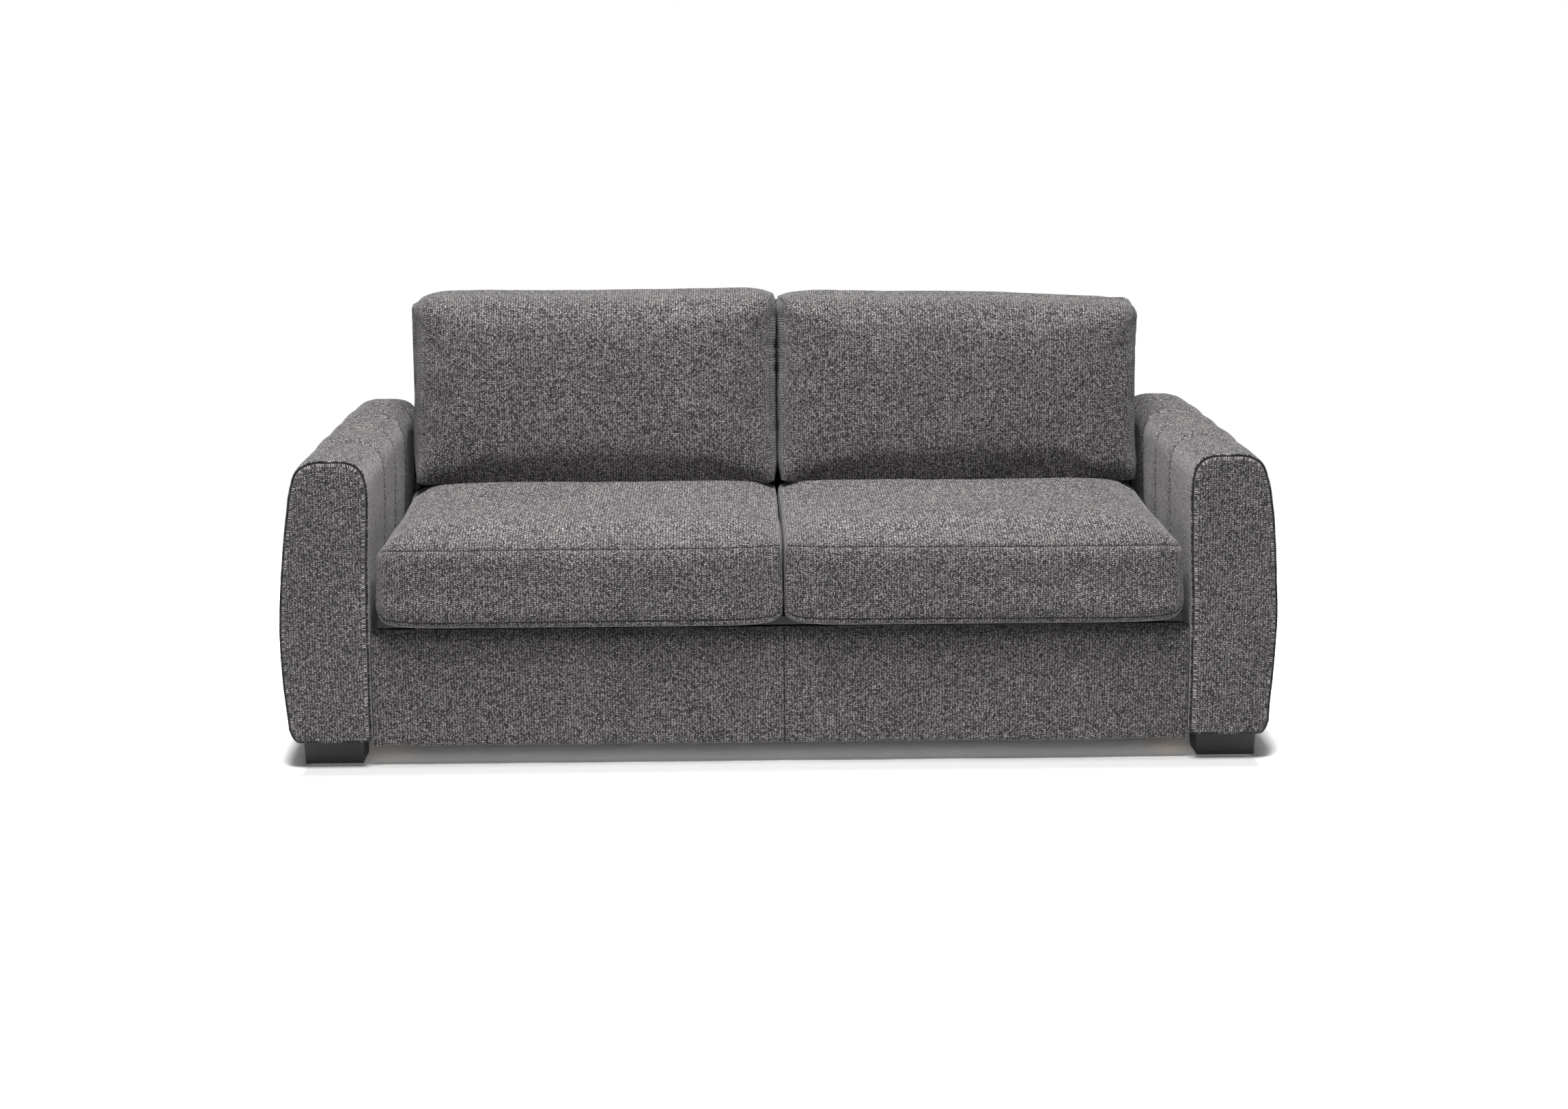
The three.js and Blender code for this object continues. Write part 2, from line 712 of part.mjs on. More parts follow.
function legCap(legOuter, y, z) {
  const tip = y - legReach;
  return block([legOuter - legThickness - legCapOver, legOuter + legCapOver], [tip, tip + legCapLength],
    [z - legHalfWidth - legCapOver, z + legHalfWidth + legCapOver]);
}

function buildLegs(backGroup) {
  addPair('middle_leg', foldingLeg(middleLegOuter, middleLegY, foldZ), greySteel);
  addPair('middle_leg_cap', legCap(middleLegOuter, middleLegY, foldZ), blackRubber);
  addPair('foot_leg', foldingLeg(footLegOuter, footLegS, 0), greySteel, backGroup);
  addPair('foot_leg_cap', legCap(footLegOuter, footLegS, 0), blackRubber, backGroup);
}

// A back cushion on the right, in the back section's own frame: Y runs up the back from the
// hinge and Z points out of its cushioned side. Its foot follows the seat cushion's level top.
function backCushion() {
  const lean = Math.tan(backLean);
  const low = [cushionMiddleGap, backCushionStart, boardTop + touchGap];
  const high = [armInner - backCushionSideGap, backCushionEnd, boardTop + touchGap + backCushionThickness];
  return softBlock({
    low,
    high,
    round: backCornerRound,
    counts: [6, 6, 2],
    form: ([x, y, z], [u, v, w]) => {
      const out = (w + 1) / 2;
      const crown = backCrown * out * (1 - u ** 4) * (1 - v ** 4);
      const swell = v > 0 ? backEndSwell * v * (1 - u ** 4) * (1 - w * w) : 0;
      const shear = lean * (z - low[2]) * (1 - v) / 2;
      const drawIn = cushionDrawIn * u * (1 - v * v);
      return [x - drawIn, y + swell - shear, z + crown];
    },
  });
}

function buildBackSection(backGroup) {
  const outer = innerFrameWidth / 2;
  const half = bedTube / 2;
  const foot = [[footFrameStart + lugFoot, -half / 2], [footFrameStart + lugFoot, half / 2]];
  const foldLug = lug([outer - lugThickness, outer], foot, 0, 0, foldLugRadius,
    Math.PI / 2, Math.PI * 3 / 2);
  add('back_bed_frame', join(bedFrame(innerFrameWidth, [footFrameStart, footFrameEnd], [-half, half], -1,
    gridAlong, gridAcross), ...bothSides(foldLug)), greySteel, backGroup);
  addMattress('mattress_foot', [sectionEndGap, footEnd], -half - touchGap - mattressThickness, backGroup);
  add('back_board', block([-boardWidth / 2, boardWidth / 2], [boardStart, boardEnd],
    [boardBottom, boardTop]), darkFabric, backGroup);
  addPair('back_cushion', backCushion(), fabric, backGroup);
  add('pull_strap', block([-strapWidth / 2, strapWidth / 2],
    [footFrameEnd + touchGap, footFrameEnd + touchGap + strapLength],
    [-strapThickness / 2, strapThickness / 2]), darkFabric, backGroup);
  addPair('foot_leg_pin', legPin(outer, footLegOuter, footLegS, 0), brightSteel, backGroup);
}

const back = new THREE.Group();
back.position.set(0, foldY, foldZ);
back.rotation.x = Math.PI / 2 - backLean;
sofa.add(back);

buildArms();
buildFeet();
buildBase();
buildMechanism();
buildHeadSection();
buildSeatSection();
buildBackSection(back);
buildLegs(back);

export default sofa;
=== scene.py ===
"""Two-seat sofa with a fold-out bed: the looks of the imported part, in metres, in the part's own frame.
+Z is up, +Y is to the rear, and left is -X as seen from in front."""
import math
import bpy
import numpy as np
from mathutils import Matrix, Vector, noise


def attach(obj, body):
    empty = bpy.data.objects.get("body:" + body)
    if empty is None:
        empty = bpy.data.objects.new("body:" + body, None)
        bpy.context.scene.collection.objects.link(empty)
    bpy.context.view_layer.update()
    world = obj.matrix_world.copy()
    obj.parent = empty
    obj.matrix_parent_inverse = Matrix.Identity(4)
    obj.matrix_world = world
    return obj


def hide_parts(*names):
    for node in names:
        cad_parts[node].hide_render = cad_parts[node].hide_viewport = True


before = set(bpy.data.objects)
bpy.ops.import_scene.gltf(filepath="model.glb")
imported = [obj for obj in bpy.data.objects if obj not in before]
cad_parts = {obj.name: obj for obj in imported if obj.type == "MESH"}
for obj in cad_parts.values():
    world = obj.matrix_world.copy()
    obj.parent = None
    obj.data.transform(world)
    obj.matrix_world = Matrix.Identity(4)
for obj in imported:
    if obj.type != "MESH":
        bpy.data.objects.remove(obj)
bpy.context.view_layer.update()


# ----------------------------------------------
# Wooden carcass. The upright frame inside each arm and the rails round the base are birch
# plywood boards, screwed and glued together before any foam or cloth goes on.

class Wire:
    """One value in a material. Sums of wires add their Math nodes, and node() makes any other."""

    def __init__(self, tree, socket=None):
        self.tree = tree
        self.socket = socket

    def node(self, kind, settings=None, sockets=None, output=0):
        made = self.tree.nodes.new("ShaderNode" + kind)
        for name, value in (settings or {}).items():
            if name == "stops":
                elements = made.color_ramp.elements
                elements[0].position, elements[1].position = value[0][0], value[-1][0]
                elements[0].color, elements[1].color = (*value[0][1], 1), (*value[-1][1], 1)
                for place, colour in value[1:-1]:
                    elements.new(place).color = (*colour, 1)
            else:
                setattr(made, name, value)
        for name, value in (sockets or {}).items():
            if isinstance(value, Wire):
                self.tree.links.new(value.socket, made.inputs[name])
            else:
                made.inputs[name].default_value = value
        return Wire(self.tree, made.outputs[output] if len(made.outputs) else None)

    def out(self, name):
        return Wire(self.tree, self.socket.node.outputs[name])

    def math(self, operation, *values):
        return self.node("Math", {"operation": operation}, dict(enumerate(values)))

    def __add__(self, other):
        return self.math("ADD", self, other)

    def __sub__(self, other):
        return self.math("SUBTRACT", self, other)

    def __rsub__(self, other):
        return self.math("SUBTRACT", other, self)

    def __mul__(self, other):
        return self.math("MULTIPLY", self, other)

    def __truediv__(self, other):
        return self.math("DIVIDE", self, other)

    def __pow__(self, other):
        return self.math("POWER", self, other)

    def __lt__(self, other):
        return self.math("LESS_THAN", self, other)

    def __gt__(self, other):
        return self.math("GREATER_THAN", self, other)

    def __abs__(self):
        return self.math("ABSOLUTE", self)

    __radd__ = __add__
    __rmul__ = __mul__

    def mix(self, low, high):
        """A colour that is low where this wire is 0 and high where it is 1."""
        return self.node("Mix", {"data_type": "RGBA"}, {0: self, 6: low, 7: high}, 2)

    def ramp(self, *stops):
        return self.node("ValToRGB", {"stops": stops}, {"Fac": self})

    def scaled(self, scale):
        return self.node("VectorMath", {"operation": "MULTIPLY"}, {0: self, 1: scale})

    def noise(self, scale, detail=2.0, roughness=0.5):
        sockets = {"Vector": self, "Scale": scale, "Detail": detail, "Roughness": roughness}
        return self.node("TexNoise", {}, sockets)


def new_finish(name):
    """An empty material and a wire to start its nodes from."""
    material = bpy.data.materials.new(name)
    material.use_nodes = True
    material.node_tree.nodes.clear()
    return material, Wire(material.node_tree)


def surface(start, height, depth, sockets):
    """The material's shader, with a bump of the given depth in metres."""
    bump = start.node("Bump", {}, {"Strength": 1.0, "Distance": depth, "Height": height})
    shader = start.node("BsdfPrincipled", {}, {**sockets, "Normal": bump})
    start.node("OutputMaterial", {}, {"Surface": shader})


def birch_plywood():
    material, start = new_finish("birch_plywood")
    place = start.node("TexCoord", output="Object")
    grain = place.scaled((38, 3.2, 38)).noise(2.4, 6, 0.62)
    figure = place.scaled((6, 1.1, 6)).noise(3.0, 2)
    plies = place.node("SeparateXYZ", {}, {0: place}).out("Z") * 330
    ply = plies.math("SINE", plies) * 0.5 + 0.5
    tone = grain * 0.62 + figure * 0.28 + ply * 0.1
    colour = tone.ramp((0.25, (0.27, 0.155, 0.075)), (0.5, (0.47, 0.31, 0.17)), (0.75, (0.62, 0.45, 0.27)))
    surface(start, grain, 0.0006, {"Base Color": colour, "Roughness": 0.55 + grain * 0.25})
    return material


def dress(material, *names):
    """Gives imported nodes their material, on the nodes themselves."""
    for name in names:
        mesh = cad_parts[name].data
        mesh.materials.clear()
        mesh.materials.append(material)


sides = (("left", -1), ("right", 1))


def both(*names):
    """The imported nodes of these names, on the left and on the right."""
    return [f"{name}_{side}" for name in names for side, _ in sides]


dress(birch_plywood(), *both("arm_frame", "base_rail"), "front_rail", "rear_rail")


# ----------------------------------------------
# Feet. Four solid blocks of black moulded plastic, 124 by 85 mm and 53 mm high, a little
# narrower at the floor, with softened edges. Each is screwed up into the foot of an arm frame.

def black_block():
    material, start = new_finish("black_foot_block")
    place = start.node("TexCoord", output="Object")
    grain = place.noise(900, 3, 0.6)
    scuffs = place.scaled((20, 20, 90)).noise(1.6, 4, 0.7)
    worn = scuffs.ramp((0.55, (0, 0, 0)), (0.8, (1, 1, 1)))
    wear = worn.node("RGBToBW", {}, {0: worn}) * 0.5
    colour = wear.mix((0.017, 0.017, 0.018, 1), (0.05, 0.05, 0.052, 1))
    surface(start, grain * 0.7 + scuffs * 0.3, 0.00035,
            {"Base Color": colour, "Roughness": 0.42 + scuffs * 0.2, "Specular IOR Level": 0.4})
    return material


foot_names = both("foot_front", "foot_rear")
dress(black_block(), *foot_names)
for name in foot_names:
    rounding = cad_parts[name].modifiers.new("softened_edges", "BEVEL")
    rounding.width = 0.0035
    rounding.segments = 3
    rounding.limit_method = "ANGLE"
    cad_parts[name].data.shade_smooth()
    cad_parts[name].modifiers.new("flat_faces", "WEIGHTED_NORMAL")


# ----------------------------------------------
# Arms. Foam 181 mm wide over the plywood frame, in a cover of heather rib knit: a flat front
# facing sewn to one band that runs up the outside, over the crest and down the inside. Four
# seams are sewn through the band and draw it in, so the foam swells between them.

rib_pitch = 0.0054
stitch_pitch = 0.0038
yarn_tint = (1.045, 0.985, 0.98)


def yarn(value):
    """The yarn's colour at one brightness: a slightly warm grey."""
    return [value * tint for tint in yarn_tint]


def rib_knit():
    """Charcoal and light grey yarn knitted in upright ribs, with loops that lean both ways.
    A seam mark above 0 is a stitched line, and one below 0 is painted shade: in a closed seam's fold, and
    along the front panel's top under the seat cushions."""
    material, start = new_finish("heather_rib_knit")
    flat = start.node("UVMap", {"uv_map": "cloth"})
    cloud = flat.noise(6, 3, 0.55)
    drift = flat.noise(22, 2, 0.5)
    laid = start.node("SeparateXYZ", {}, {0: flat})
    u, v = laid.out("X"), laid.out("Y")
    rib = (u + (drift - 0.5) * 0.0022) / rib_pitch
    column = rib.math("FLOOR", rib)
    across = rib - column
    from_middle = abs(across - 0.5) * 2
    half = across > 0.5
    shift = start.node("TexWhiteNoise", {"noise_dimensions": "1D"}, {"W": column})
    phase = v / stitch_pitch - from_middle * 0.62 + shift * 0.8 + (drift - 0.5) * 0.6
    row = phase.math("FLOOR", phase)
    along = phase - row
    plait = (1 - from_middle ** 3) * (0.55 + 0.45 * from_middle)
    bead = (along * math.pi).math("SINE", along * math.pi)
    loop = plait * (0.04 + 0.96 * bead)
    fine = phase * 2
    spot = start.node("CombineXYZ", {}, {0: column * 2 + half, 1: fine.math("FLOOR", fine), 2: 0.5})
    chance = start.node("TexWhiteNoise", {"noise_dimensions": "3D"}, {"Vector": spot})
    slub = start.node("CombineXYZ", {}, {0: column * 0.3, 1: row * 0.7, 2: 3.5}).noise(1.0, 2, 0.6)
    strand = start.node("CombineXYZ", {}, {0: column * 1.7, 1: row * 0.24, 2: 8.5}).noise(1.0, 2, 0.6)
    fibre = flat.scaled((1, 0.6, 1)).noise(1700, 2, 0.6)
    fleck = chance ** 1.5 * 1.05 + (slub - 0.5) * 0.1 + (strand - 0.5) * 0.14 + (fibre - 0.5) * 0.3
    tone = loop * (0.26 + fleck) * (0.9 + cloud * 0.2)
    seam = start.node("Attribute", {"attribute_name": "seam"}, output="Fac")
    run = (u + v) / 0.0058
    dash = (run - run.math("FLOOR", run)) < 0.64
    sewn = (seam > 0.5) * dash
    # Marks below 0 darken the knit as painted shade, in closed seam folds and under the seat cushions' lip.
    closed = seam.math("MAXIMUM", seam * -1, 0.0)
    shaded = tone * (1 - abs(seam) * 0.35) * (1 - sewn * 0.5) * (1 - closed * 0.75)
    colour = shaded.ramp((0.0, yarn(0.0035)), (0.14, yarn(0.022)), (0.34, yarn(0.13)), (0.62, yarn(0.44)),
                         (0.98, yarn(0.86)))
    height = loop * 0.8 + fibre * 0.2 - abs(seam) * 0.5
    surface(start, height, 0.0014,
            {"Base Color": colour, "Roughness": 0.9, "Specular IOR Level": 0.2,
             "Sheen Weight": 0.35, "Sheen Roughness": 0.45, "Sheen Tint": (0.93, 0.91, 0.91, 1)})
    return material


def make_piece(name, points, faces, corners, seam, material):
    """A mesh with the cloth's own flat coordinates in metres and its seams marked."""
    mesh = bpy.data.meshes.new(name)
    mesh.from_pydata([tuple(p) for p in points], [], faces)
    layer = mesh.uv_layers.new(name="cloth")
    layer.data.foreach_set("uv", np.asarray(corners, np.float32).ravel())
    marks = mesh.attributes.new("seam", "FLOAT", "POINT")
    marks.data.foreach_set("value", np.asarray(seam, np.float32))
    mesh.shade_smooth()
    mesh.materials.append(material)
    mesh.update()
    piece = bpy.data.objects.new(name, mesh)
    bpy.context.scene.collection.objects.link(piece)
    return piece


def clipped(value):
    return min(1.0, max(0.0, value))


def wander(size, *place):
    """An even, repeatable unevenness of the given size at a place."""
    return noise.noise(Vector(place)) * size


def bump_at(distance, reach):
    """1 on a line, falling off to both sides within about its reach."""
    return math.exp(-((distance / reach) ** 2))


def curve(start, *controls, steps):
    """Points on a Bezier curve of one to three more controls, without its first point."""
    hull = [np.array(start, float)] + [np.array(c, float) for c in controls]
    order = len(hull) - 1

    def point(t):
        return sum(math.comb(order, k) * (1 - t) ** (order - k) * t ** k * hull[k] for k in range(order + 1))

    return [point(t) for t in np.linspace(0, 1, steps + 1)[1:, None]]


arm_inner, arm_width, arm_foot_width = 0.838, 0.181, 0.159
arm_front, arm_rear = -0.461, 0.488
arm_low, arm_high = 0.053, 0.638
arm_edge = 0.014
arm_lean = 0.008
arm_facing_turn, arm_facing_groove = 0.012, 0.0026
arm_first_seam, arm_seam_pitch, arm_seam_count = 0.272, 0.186, 4
arm_pattern_length = 0.7
facing_puff = 0.0045


def arm_outline():
    """The arm's section: across from its inner face, and up from its underside."""
    tall = arm_high - arm_low
    belly, shoulder, low_turn = tall * 0.44, tall * 0.92, tall * 0.05
    shoulder_width, crest_outer, crest_inner = arm_width * 0.87, arm_width * 0.55, arm_width * 0.36
    e, w, f = arm_edge, arm_width, arm_foot_width
    points = [np.array((e, 0.0))]
    points += curve(points[-1], (f - e, 0), steps=10)
    points += curve(points[-1], (f, 0), (f + e / 2, low_turn), steps=6)
    points += curve(points[-1], (w - e, belly / 3), (w, belly * 2 / 3), (w, belly), steps=22)
    points += curve(points[-1], (w, (belly + shoulder) / 2),
                    ((w + shoulder_width) / 2, shoulder - low_turn), (shoulder_width, shoulder), steps=22)
    points += curve(points[-1], (shoulder_width - e / 2, tall - e),
                    (shoulder_width - 2 * e, tall - e / 4), (crest_outer, tall), steps=12)
    points += curve(points[-1], (crest_inner, tall), steps=4)
    points += curve(points[-1], (crest_inner / 3, tall), (0, tall - low_turn / 2), (0, tall * 0.88),
                    steps=12)
    points += curve(points[-1], (0, e), steps=40)
    points += curve(points[-1], (0, 0), (e, 0), steps=4)
    return np.array(points[:-1])


def arm_rows():
    """Rows of the band from front to rear: (place along, how far drawn in, how much of a seam). Below 0, the
    seam mark is painted shade in the facing seam's fold.
    """
    turn, groove = arm_facing_turn, arm_facing_groove
    rows = []
    for degrees, mark in ((0, 0), (14, 0), (26, 0), (36, -0.4), (46, -1), (56, -0.4), (66, 0), (78, 0),
                          (90, 0)):
        angle = math.radians(degrees)
        y, inset = arm_front + turn * (1 - math.cos(angle)), turn * (1 - math.sin(angle))
        rows.append((y - groove * mark, inset - groove * mark, mark))
    seams = [arm_front + arm_first_seam + arm_seam_pitch * k for k in range(arm_seam_count)]
    steps = np.arange(arm_front + turn + 0.008, arm_rear - turn - 0.004, 0.009)
    near = [d / 1000 for d in (-16, -11, -7, -4, -2.2, 0, 2.2, 4, 7, 11, 16)]
    places = [y for y in steps if min(abs(y - s) for s in seams) > 0.02]
    places += [s + d for s in seams for d in near]
    ends = [arm_front] + seams + [arm_rear]
    for y in sorted(places):
        k = max(i for i, e in enumerate(ends) if e <= y + 1e-9)
        share = min(1.0, (y - ends[k]) / (ends[min(k + 1, len(ends) - 1)] - ends[k]))
        bulge = 0.0035 if 0 < k < len(ends) - 2 else 0.0015
        away = min(abs(y - s) for s in seams)
        drawn_in = 0.0052 * bump_at(away, 0.0065) + 0.0018 * bump_at(away, 0.02)
        rows.append((y, drawn_in - bulge * math.sin(math.pi * share), 1.0 if away < 1e-6 else 0.0))
    for degrees in (0, 22, 45, 68, 90):
        angle = math.radians(degrees)
        rows.append((arm_rear - turn * (1 - math.sin(angle)), turn * (1 - math.cos(angle)), 0))
    return rows


def make_arm(side, sign, material):
    """A band sewn round the arm's section, from the front facing to the rear one."""
    outline = arm_outline()
    count = len(outline)
    tangent = np.roll(outline, -1, 0) - np.roll(outline, 1, 0)
    inwards = np.stack([-tangent[:, 1], tangent[:, 0]], 1)
    inwards /= np.linalg.norm(inwards, axis=1)[:, None]
    around = np.concatenate([[0], np.cumsum(np.linalg.norm(np.roll(outline, -1, 0) - outline, axis=1))])
    rows = arm_rows()
    # The foam in the outer half bulges low down on the left arm only, and each arm is a little
    # flatter round a height of its own.
    outer_half, flattened = 0.08, 0.004
    lower_bulge, flat_height = (0.006, 0.47) if sign < 0 else (0.0, 0.30)
    points, seam, faces, corners = [], [], [], []
    for y, inset, mark in rows:
        for i, (across, up) in enumerate(outline):
            held = min(1.0, up / arm_foot_width + 0.15)
            shift = inset if abs(inset) > 0.0055 else inset * held
            wave = wander(0.0016, across * 9 + sign * 5, y * 9, up * 9)
            wave += wander(0.0006, across * 34 + sign * 5, y * 26, up * 34)
            p = outline[i] + inwards[i] * (shift + wave * held)
            p[0] -= arm_lean * clipped((up - 0.20) / 0.28) ** 1.5
            if p[0] > outer_half:
                p[0] += lower_bulge * bump_at(up - 0.11, 0.12)
                p[0] -= flattened * bump_at(up - flat_height, 0.14)
            nearest = 0.0003 if up < 0.2 else -arm_lean
            points.append((sign * (arm_inner + max(p[0], nearest)), y, arm_low + max(p[1], 0.0002)))
            # A mark below 0 is painted shade in the facing seam's fold, full on the crest and weaker lower
            # down.
            crest = 1.0 if mark > 0 else 0.4 + 0.6 * clipped((up - 0.42) / 0.08)
            seam.append(mark * crest * clipped((up - 0.02) / 0.05))
    for k in range(len(rows) - 1):
        for i in range(count):
            j = (i + 1) % count
            faces.append([k * count + i, k * count + j, (k + 1) * count + j, (k + 1) * count + i])
            near, far = rows[k][0] * arm_pattern_length, rows[k + 1][0] * arm_pattern_length
            low, high = around[i], around[i + 1]
            corners.append([(near, low), (near, high), (far, high), (far, low)])
    middle = outline.mean(0)
    centre = np.array([arm_inner + middle[0], arm_low + middle[1]])
    for k, y, out in ((0, arm_front, -1), (len(rows) - 1, arm_rear, 1)):
        edge = list(range(k * count, (k + 1) * count))
        for share in (0.93, 0.8, 0.6, 0.35, 0.12):
            ring = []
            for x, _, z in points[k * count:(k + 1) * count]:
                p = centre + (np.array([sign * x, z]) - centre) * share
                puff = facing_puff * (1 - share ** 4) + wander(0.0012, p[0] * 12, p[1] * 12, sign * 3)
                ring.append(len(points))
                points.append((sign * p[0], y + out * puff, p[1]))
                seam.append(0)
            for i in range(count):
                j = (i + 1) % count
                quad = [edge[i], ring[i], ring[j], edge[j]]
                faces.append(quad if out < 0 else quad[::-1])
                corners.append([(points[q][0], points[q][2]) for q in faces[-1]])
            edge = ring
        points.append((sign * centre[0], y + out * facing_puff, centre[1]))
        seam.append(0)
        for i in range(count):
            tri = [edge[i], len(points) - 1, edge[(i + 1) % count]]
            faces.append(tri if out < 0 else tri[::-1])
            corners.append([(points[q][0], points[q][2]) for q in faces[-1]])
    if sign > 0:
        faces = [face[::-1] for face in faces]
        corners = [list(flat)[::-1] for flat in corners]
    arm = make_piece(f"arm_{side}_cover", points, faces, [c for flat in corners for c in flat], seam,
                     material)
    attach(arm, "base")
    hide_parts(f"arm_{side}")


knit = rib_knit()
for side, sign in sides:
    make_arm(side, sign, knit)


# ----------------------------------------------
# Front panel, rear panel and back wings. Boards covered with 5 mm of wadding and the same rib
# knit, stapled underneath, so the hem wanders a little. Front and rear have one upright seam
# in the middle, and the narrow wings stand inside the arms and close the back at its sides.

def soft_lines(low, high, turn, step, marks=()):
    """Grid lines along one side of a padded block: close together over its rounded edges."""
    edge = [turn * share for share in (0, 0.1, 0.42, 0.73, 1)]
    count = max(1, round((high - low - 2 * turn) / step))
    lines = [low + e for e in edge] + list(np.linspace(low + turn, high - turn, count + 1)[1:-1])
    lines += [high - e for e in reversed(edge)]
    for mark in marks:
        if low < mark < high:
            lines = [line for line in lines if abs(line - mark) > 0.0045 or line in (low, high)]
            lines += [mark - 0.003, mark, mark + 0.003]
    return sorted(lines)


def padded_block(low, high, turn, step, marks=((), (), ()), drawn=1.0):
    """A closed block with rounded edges: its square points, rounded points, faces and flat corners.
    Drawn says how long the cloth's pattern runs behind the front 6 cm of the upper face."""
    lines = [soft_lines(low[a], high[a], turn, step, marks[a]) for a in range(3)]
    number, square, faces, corners = {}, [], [], []
    for axis in range(3):
        across, up = (axis + 1) % 3, (axis + 2) % 3
        for end in (0, 1):
            grid = np.empty((len(lines[across]), len(lines[up])), int)
            for i, s in enumerate(lines[across]):
                for j, t in enumerate(lines[up]):
                    p = [0.0, 0.0, 0.0]
                    p[axis], p[across], p[up] = (high if end else low)[axis], s, t
                    key = tuple(round(c * 1e6) for c in p)
                    if key not in number:
                        number[key] = len(square)
                        square.append(p)
                    grid[i, j] = number[key]
            for i in range(len(lines[across]) - 1):
                for j in range(len(lines[up]) - 1):
                    quad = [grid[i, j], grid[i + 1, j], grid[i + 1, j + 1], grid[i, j + 1]]
                    faces.append([int(q) for q in (quad if end else quad[::-1])])
                    for q in faces[-1]:
                        x, y, z = square[q]
                        if axis == 0:
                            corners.append((y, z))
                        elif axis == 1:
                            corners.append((x, high[1] + high[2] - z if end else low[1] + z - high[2]))
                        else:
                            inwards = y - low[1]
                            run = low[2] - high[2] - inwards
                            if end:
                                run = min(inwards, 0.06) + max(0.0, inwards - 0.06) * drawn
                            corners.append((x, low[1] + run))
    square = np.array(square)
    low, high = np.array(low), np.array(high)
    core = np.clip(square, low + turn, high - turn)
    outwards = square - core
    rounded = core + turn * outwards / np.linalg.norm(outwards, axis=1)[:, None]
    return square, rounded, faces, corners


def on_plane(square, axis, value):
    return np.abs(square[:, axis] - value) < 1e-6


def shares(points, low, high):
    """Each point's place in a block along its three axes, from -1 at one side to 1 at the other."""
    middle, half = (np.array(low) + high) / 2, (np.array(high) - low) / 2
    return ((points - middle) / half).T


panel_half, panel_seam, panel_front, tucked_from = 0.8377, 0.006, -0.445, 0.256
square, points, faces, corners = padded_block((-panel_half, panel_front, 0.042), (panel_half, -0.432, 0.286),
                                              0.005, 0.011, marks=((panel_seam,), (), ()))
# The middle seam's mark is below 0, so the knit along it is darkened with painted shade in its fold.
seam = (on_plane(square, 0, panel_seam) & on_plane(square, 1, panel_front)).astype(float) * -0.6
for i, (x, y, z) in enumerate(points):
    low_share = clipped((0.075 - z) / 0.033)
    ripple = wander(0.0022, x * 5.5, 1.7, z * 4) + wander(0.0009, x * 23, 4.1, z * 9)
    hem = wander(0.0026, x * 7, 9.3, 0) + wander(0.0009, x * 31, 2.3, 0)
    corner = bump_at(x + 0.829, 0.011)
    tuck = bump_at(x + 0.805, 0.03) * low_share
    if square[i][1] < -0.44:
        points[i][1] += (ripple - 0.0012 * tuck * math.sin(x * 260) + 0.0022 * bump_at(x - panel_seam, 0.006)
                         - 0.003 * corner * low_share)
        # The top leans back under the seat cushions' lip, and the knit there is darkened with painted shade.
        tucked_and_shaded = clipped((z - tucked_from) / 0.024)
        points[i][1] += 0.010 * tucked_and_shaded * tucked_and_shaded
        seam[i] -= 0.3 * tucked_and_shaded
    points[i][2] += low_share * (hem - 0.0045 * corner + 0.002 * tuck)
piece = make_piece("front_panel_cover", points, faces, corners, seam, knit)
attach(piece, "base")
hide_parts("front_panel")

rear_half, rear_face, rear_top, rear_top_seam = 0.8335, 0.488, 0.866, 0.831
square, points, faces, corners = padded_block((-rear_half, 0.448, 0.042), (rear_half, rear_face, rear_top),
                                              0.009, 0.016, marks=((0.0,), (), (rear_top_seam,)))
upright = on_plane(square, 0, 0.0) & (square[:, 2] < rear_top_seam)
seam = ((upright | on_plane(square, 2, rear_top_seam)) & on_plane(square, 1, rear_face)).astype(float)
for i, (x, y, z) in enumerate(points):
    if square[i][1] > 0.487:
        points[i][1] += wander(0.0015, x * 4, 6.1, z * 4) - 0.002 - seam[i] * 0.0018
        points[i][2] += wander(0.002, x * 8, 3.9, 0) * clipped((0.08 - z) / 0.03)
piece = make_piece("rear_panel_cover", points, faces, corners, seam, knit)
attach(piece, "base")
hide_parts("rear_panel")

wing_inner, wing_outer, wing_front = 0.8207, 0.8335, 0.3507
for side, sign in sides:
    inner, outer = sorted((sign * wing_inner, sign * wing_outer))
    square, points, faces, corners = padded_block((inner, wing_front, 0.470), (outer, 0.4477, rear_top),
                                                  0.0055, 0.012)
    seam = (on_plane(square, 1, wing_front) & on_plane(square, 0, sign * wing_outer)).astype(float)
    # Narrower towards the front, so that seen from there it stays behind the back cushion.
    for i, (x, y, z) in enumerate(points):
        narrower = 0.0075 * clipped((0.430 - y) / 0.080)
        points[i][0] -= sign * narrower * (abs(x) - wing_inner) / (wing_outer - wing_inner)
    piece = make_piece(f"back_wing_{side}_cover", points, faces, corners, seam, knit)
    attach(piece, "base")
    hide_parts(f"back_wing_{side}")


# ----------------------------------------------
# Side plates of the mechanism. Two 4 mm steel plates in grey powder coat, screwed to the side
# rails with five hexagon screws each, with a bright plated pin for every swing arm to turn on.

def grey_steel():
    material, start = new_finish("grey_powder_coat")
    place = start.node("TexCoord", output="Object")
    peel = place.noise(420, 2, 0.5)
    tone = place.noise(9, 4, 0.6)
    rub = place.noise(55, 5, 0.72)
    worn = start.node("RGBToBW", {}, {0: rub.ramp((0.62, (0, 0, 0)), (0.74, (1, 1, 1)))})
    coat = tone.mix((0.085, 0.09, 0.097, 1), (0.125, 0.13, 0.138, 1))
    colour = (worn * 0.35).mix(coat, (0.3, 0.3, 0.31, 1))
    surface(start, peel, 0.00025, {"Base Color": colour, "Roughness": 0.36 + peel * 0.16 + worn * 0.1,
                                   "Metallic": 0.25 + worn * 0.4})
    return material


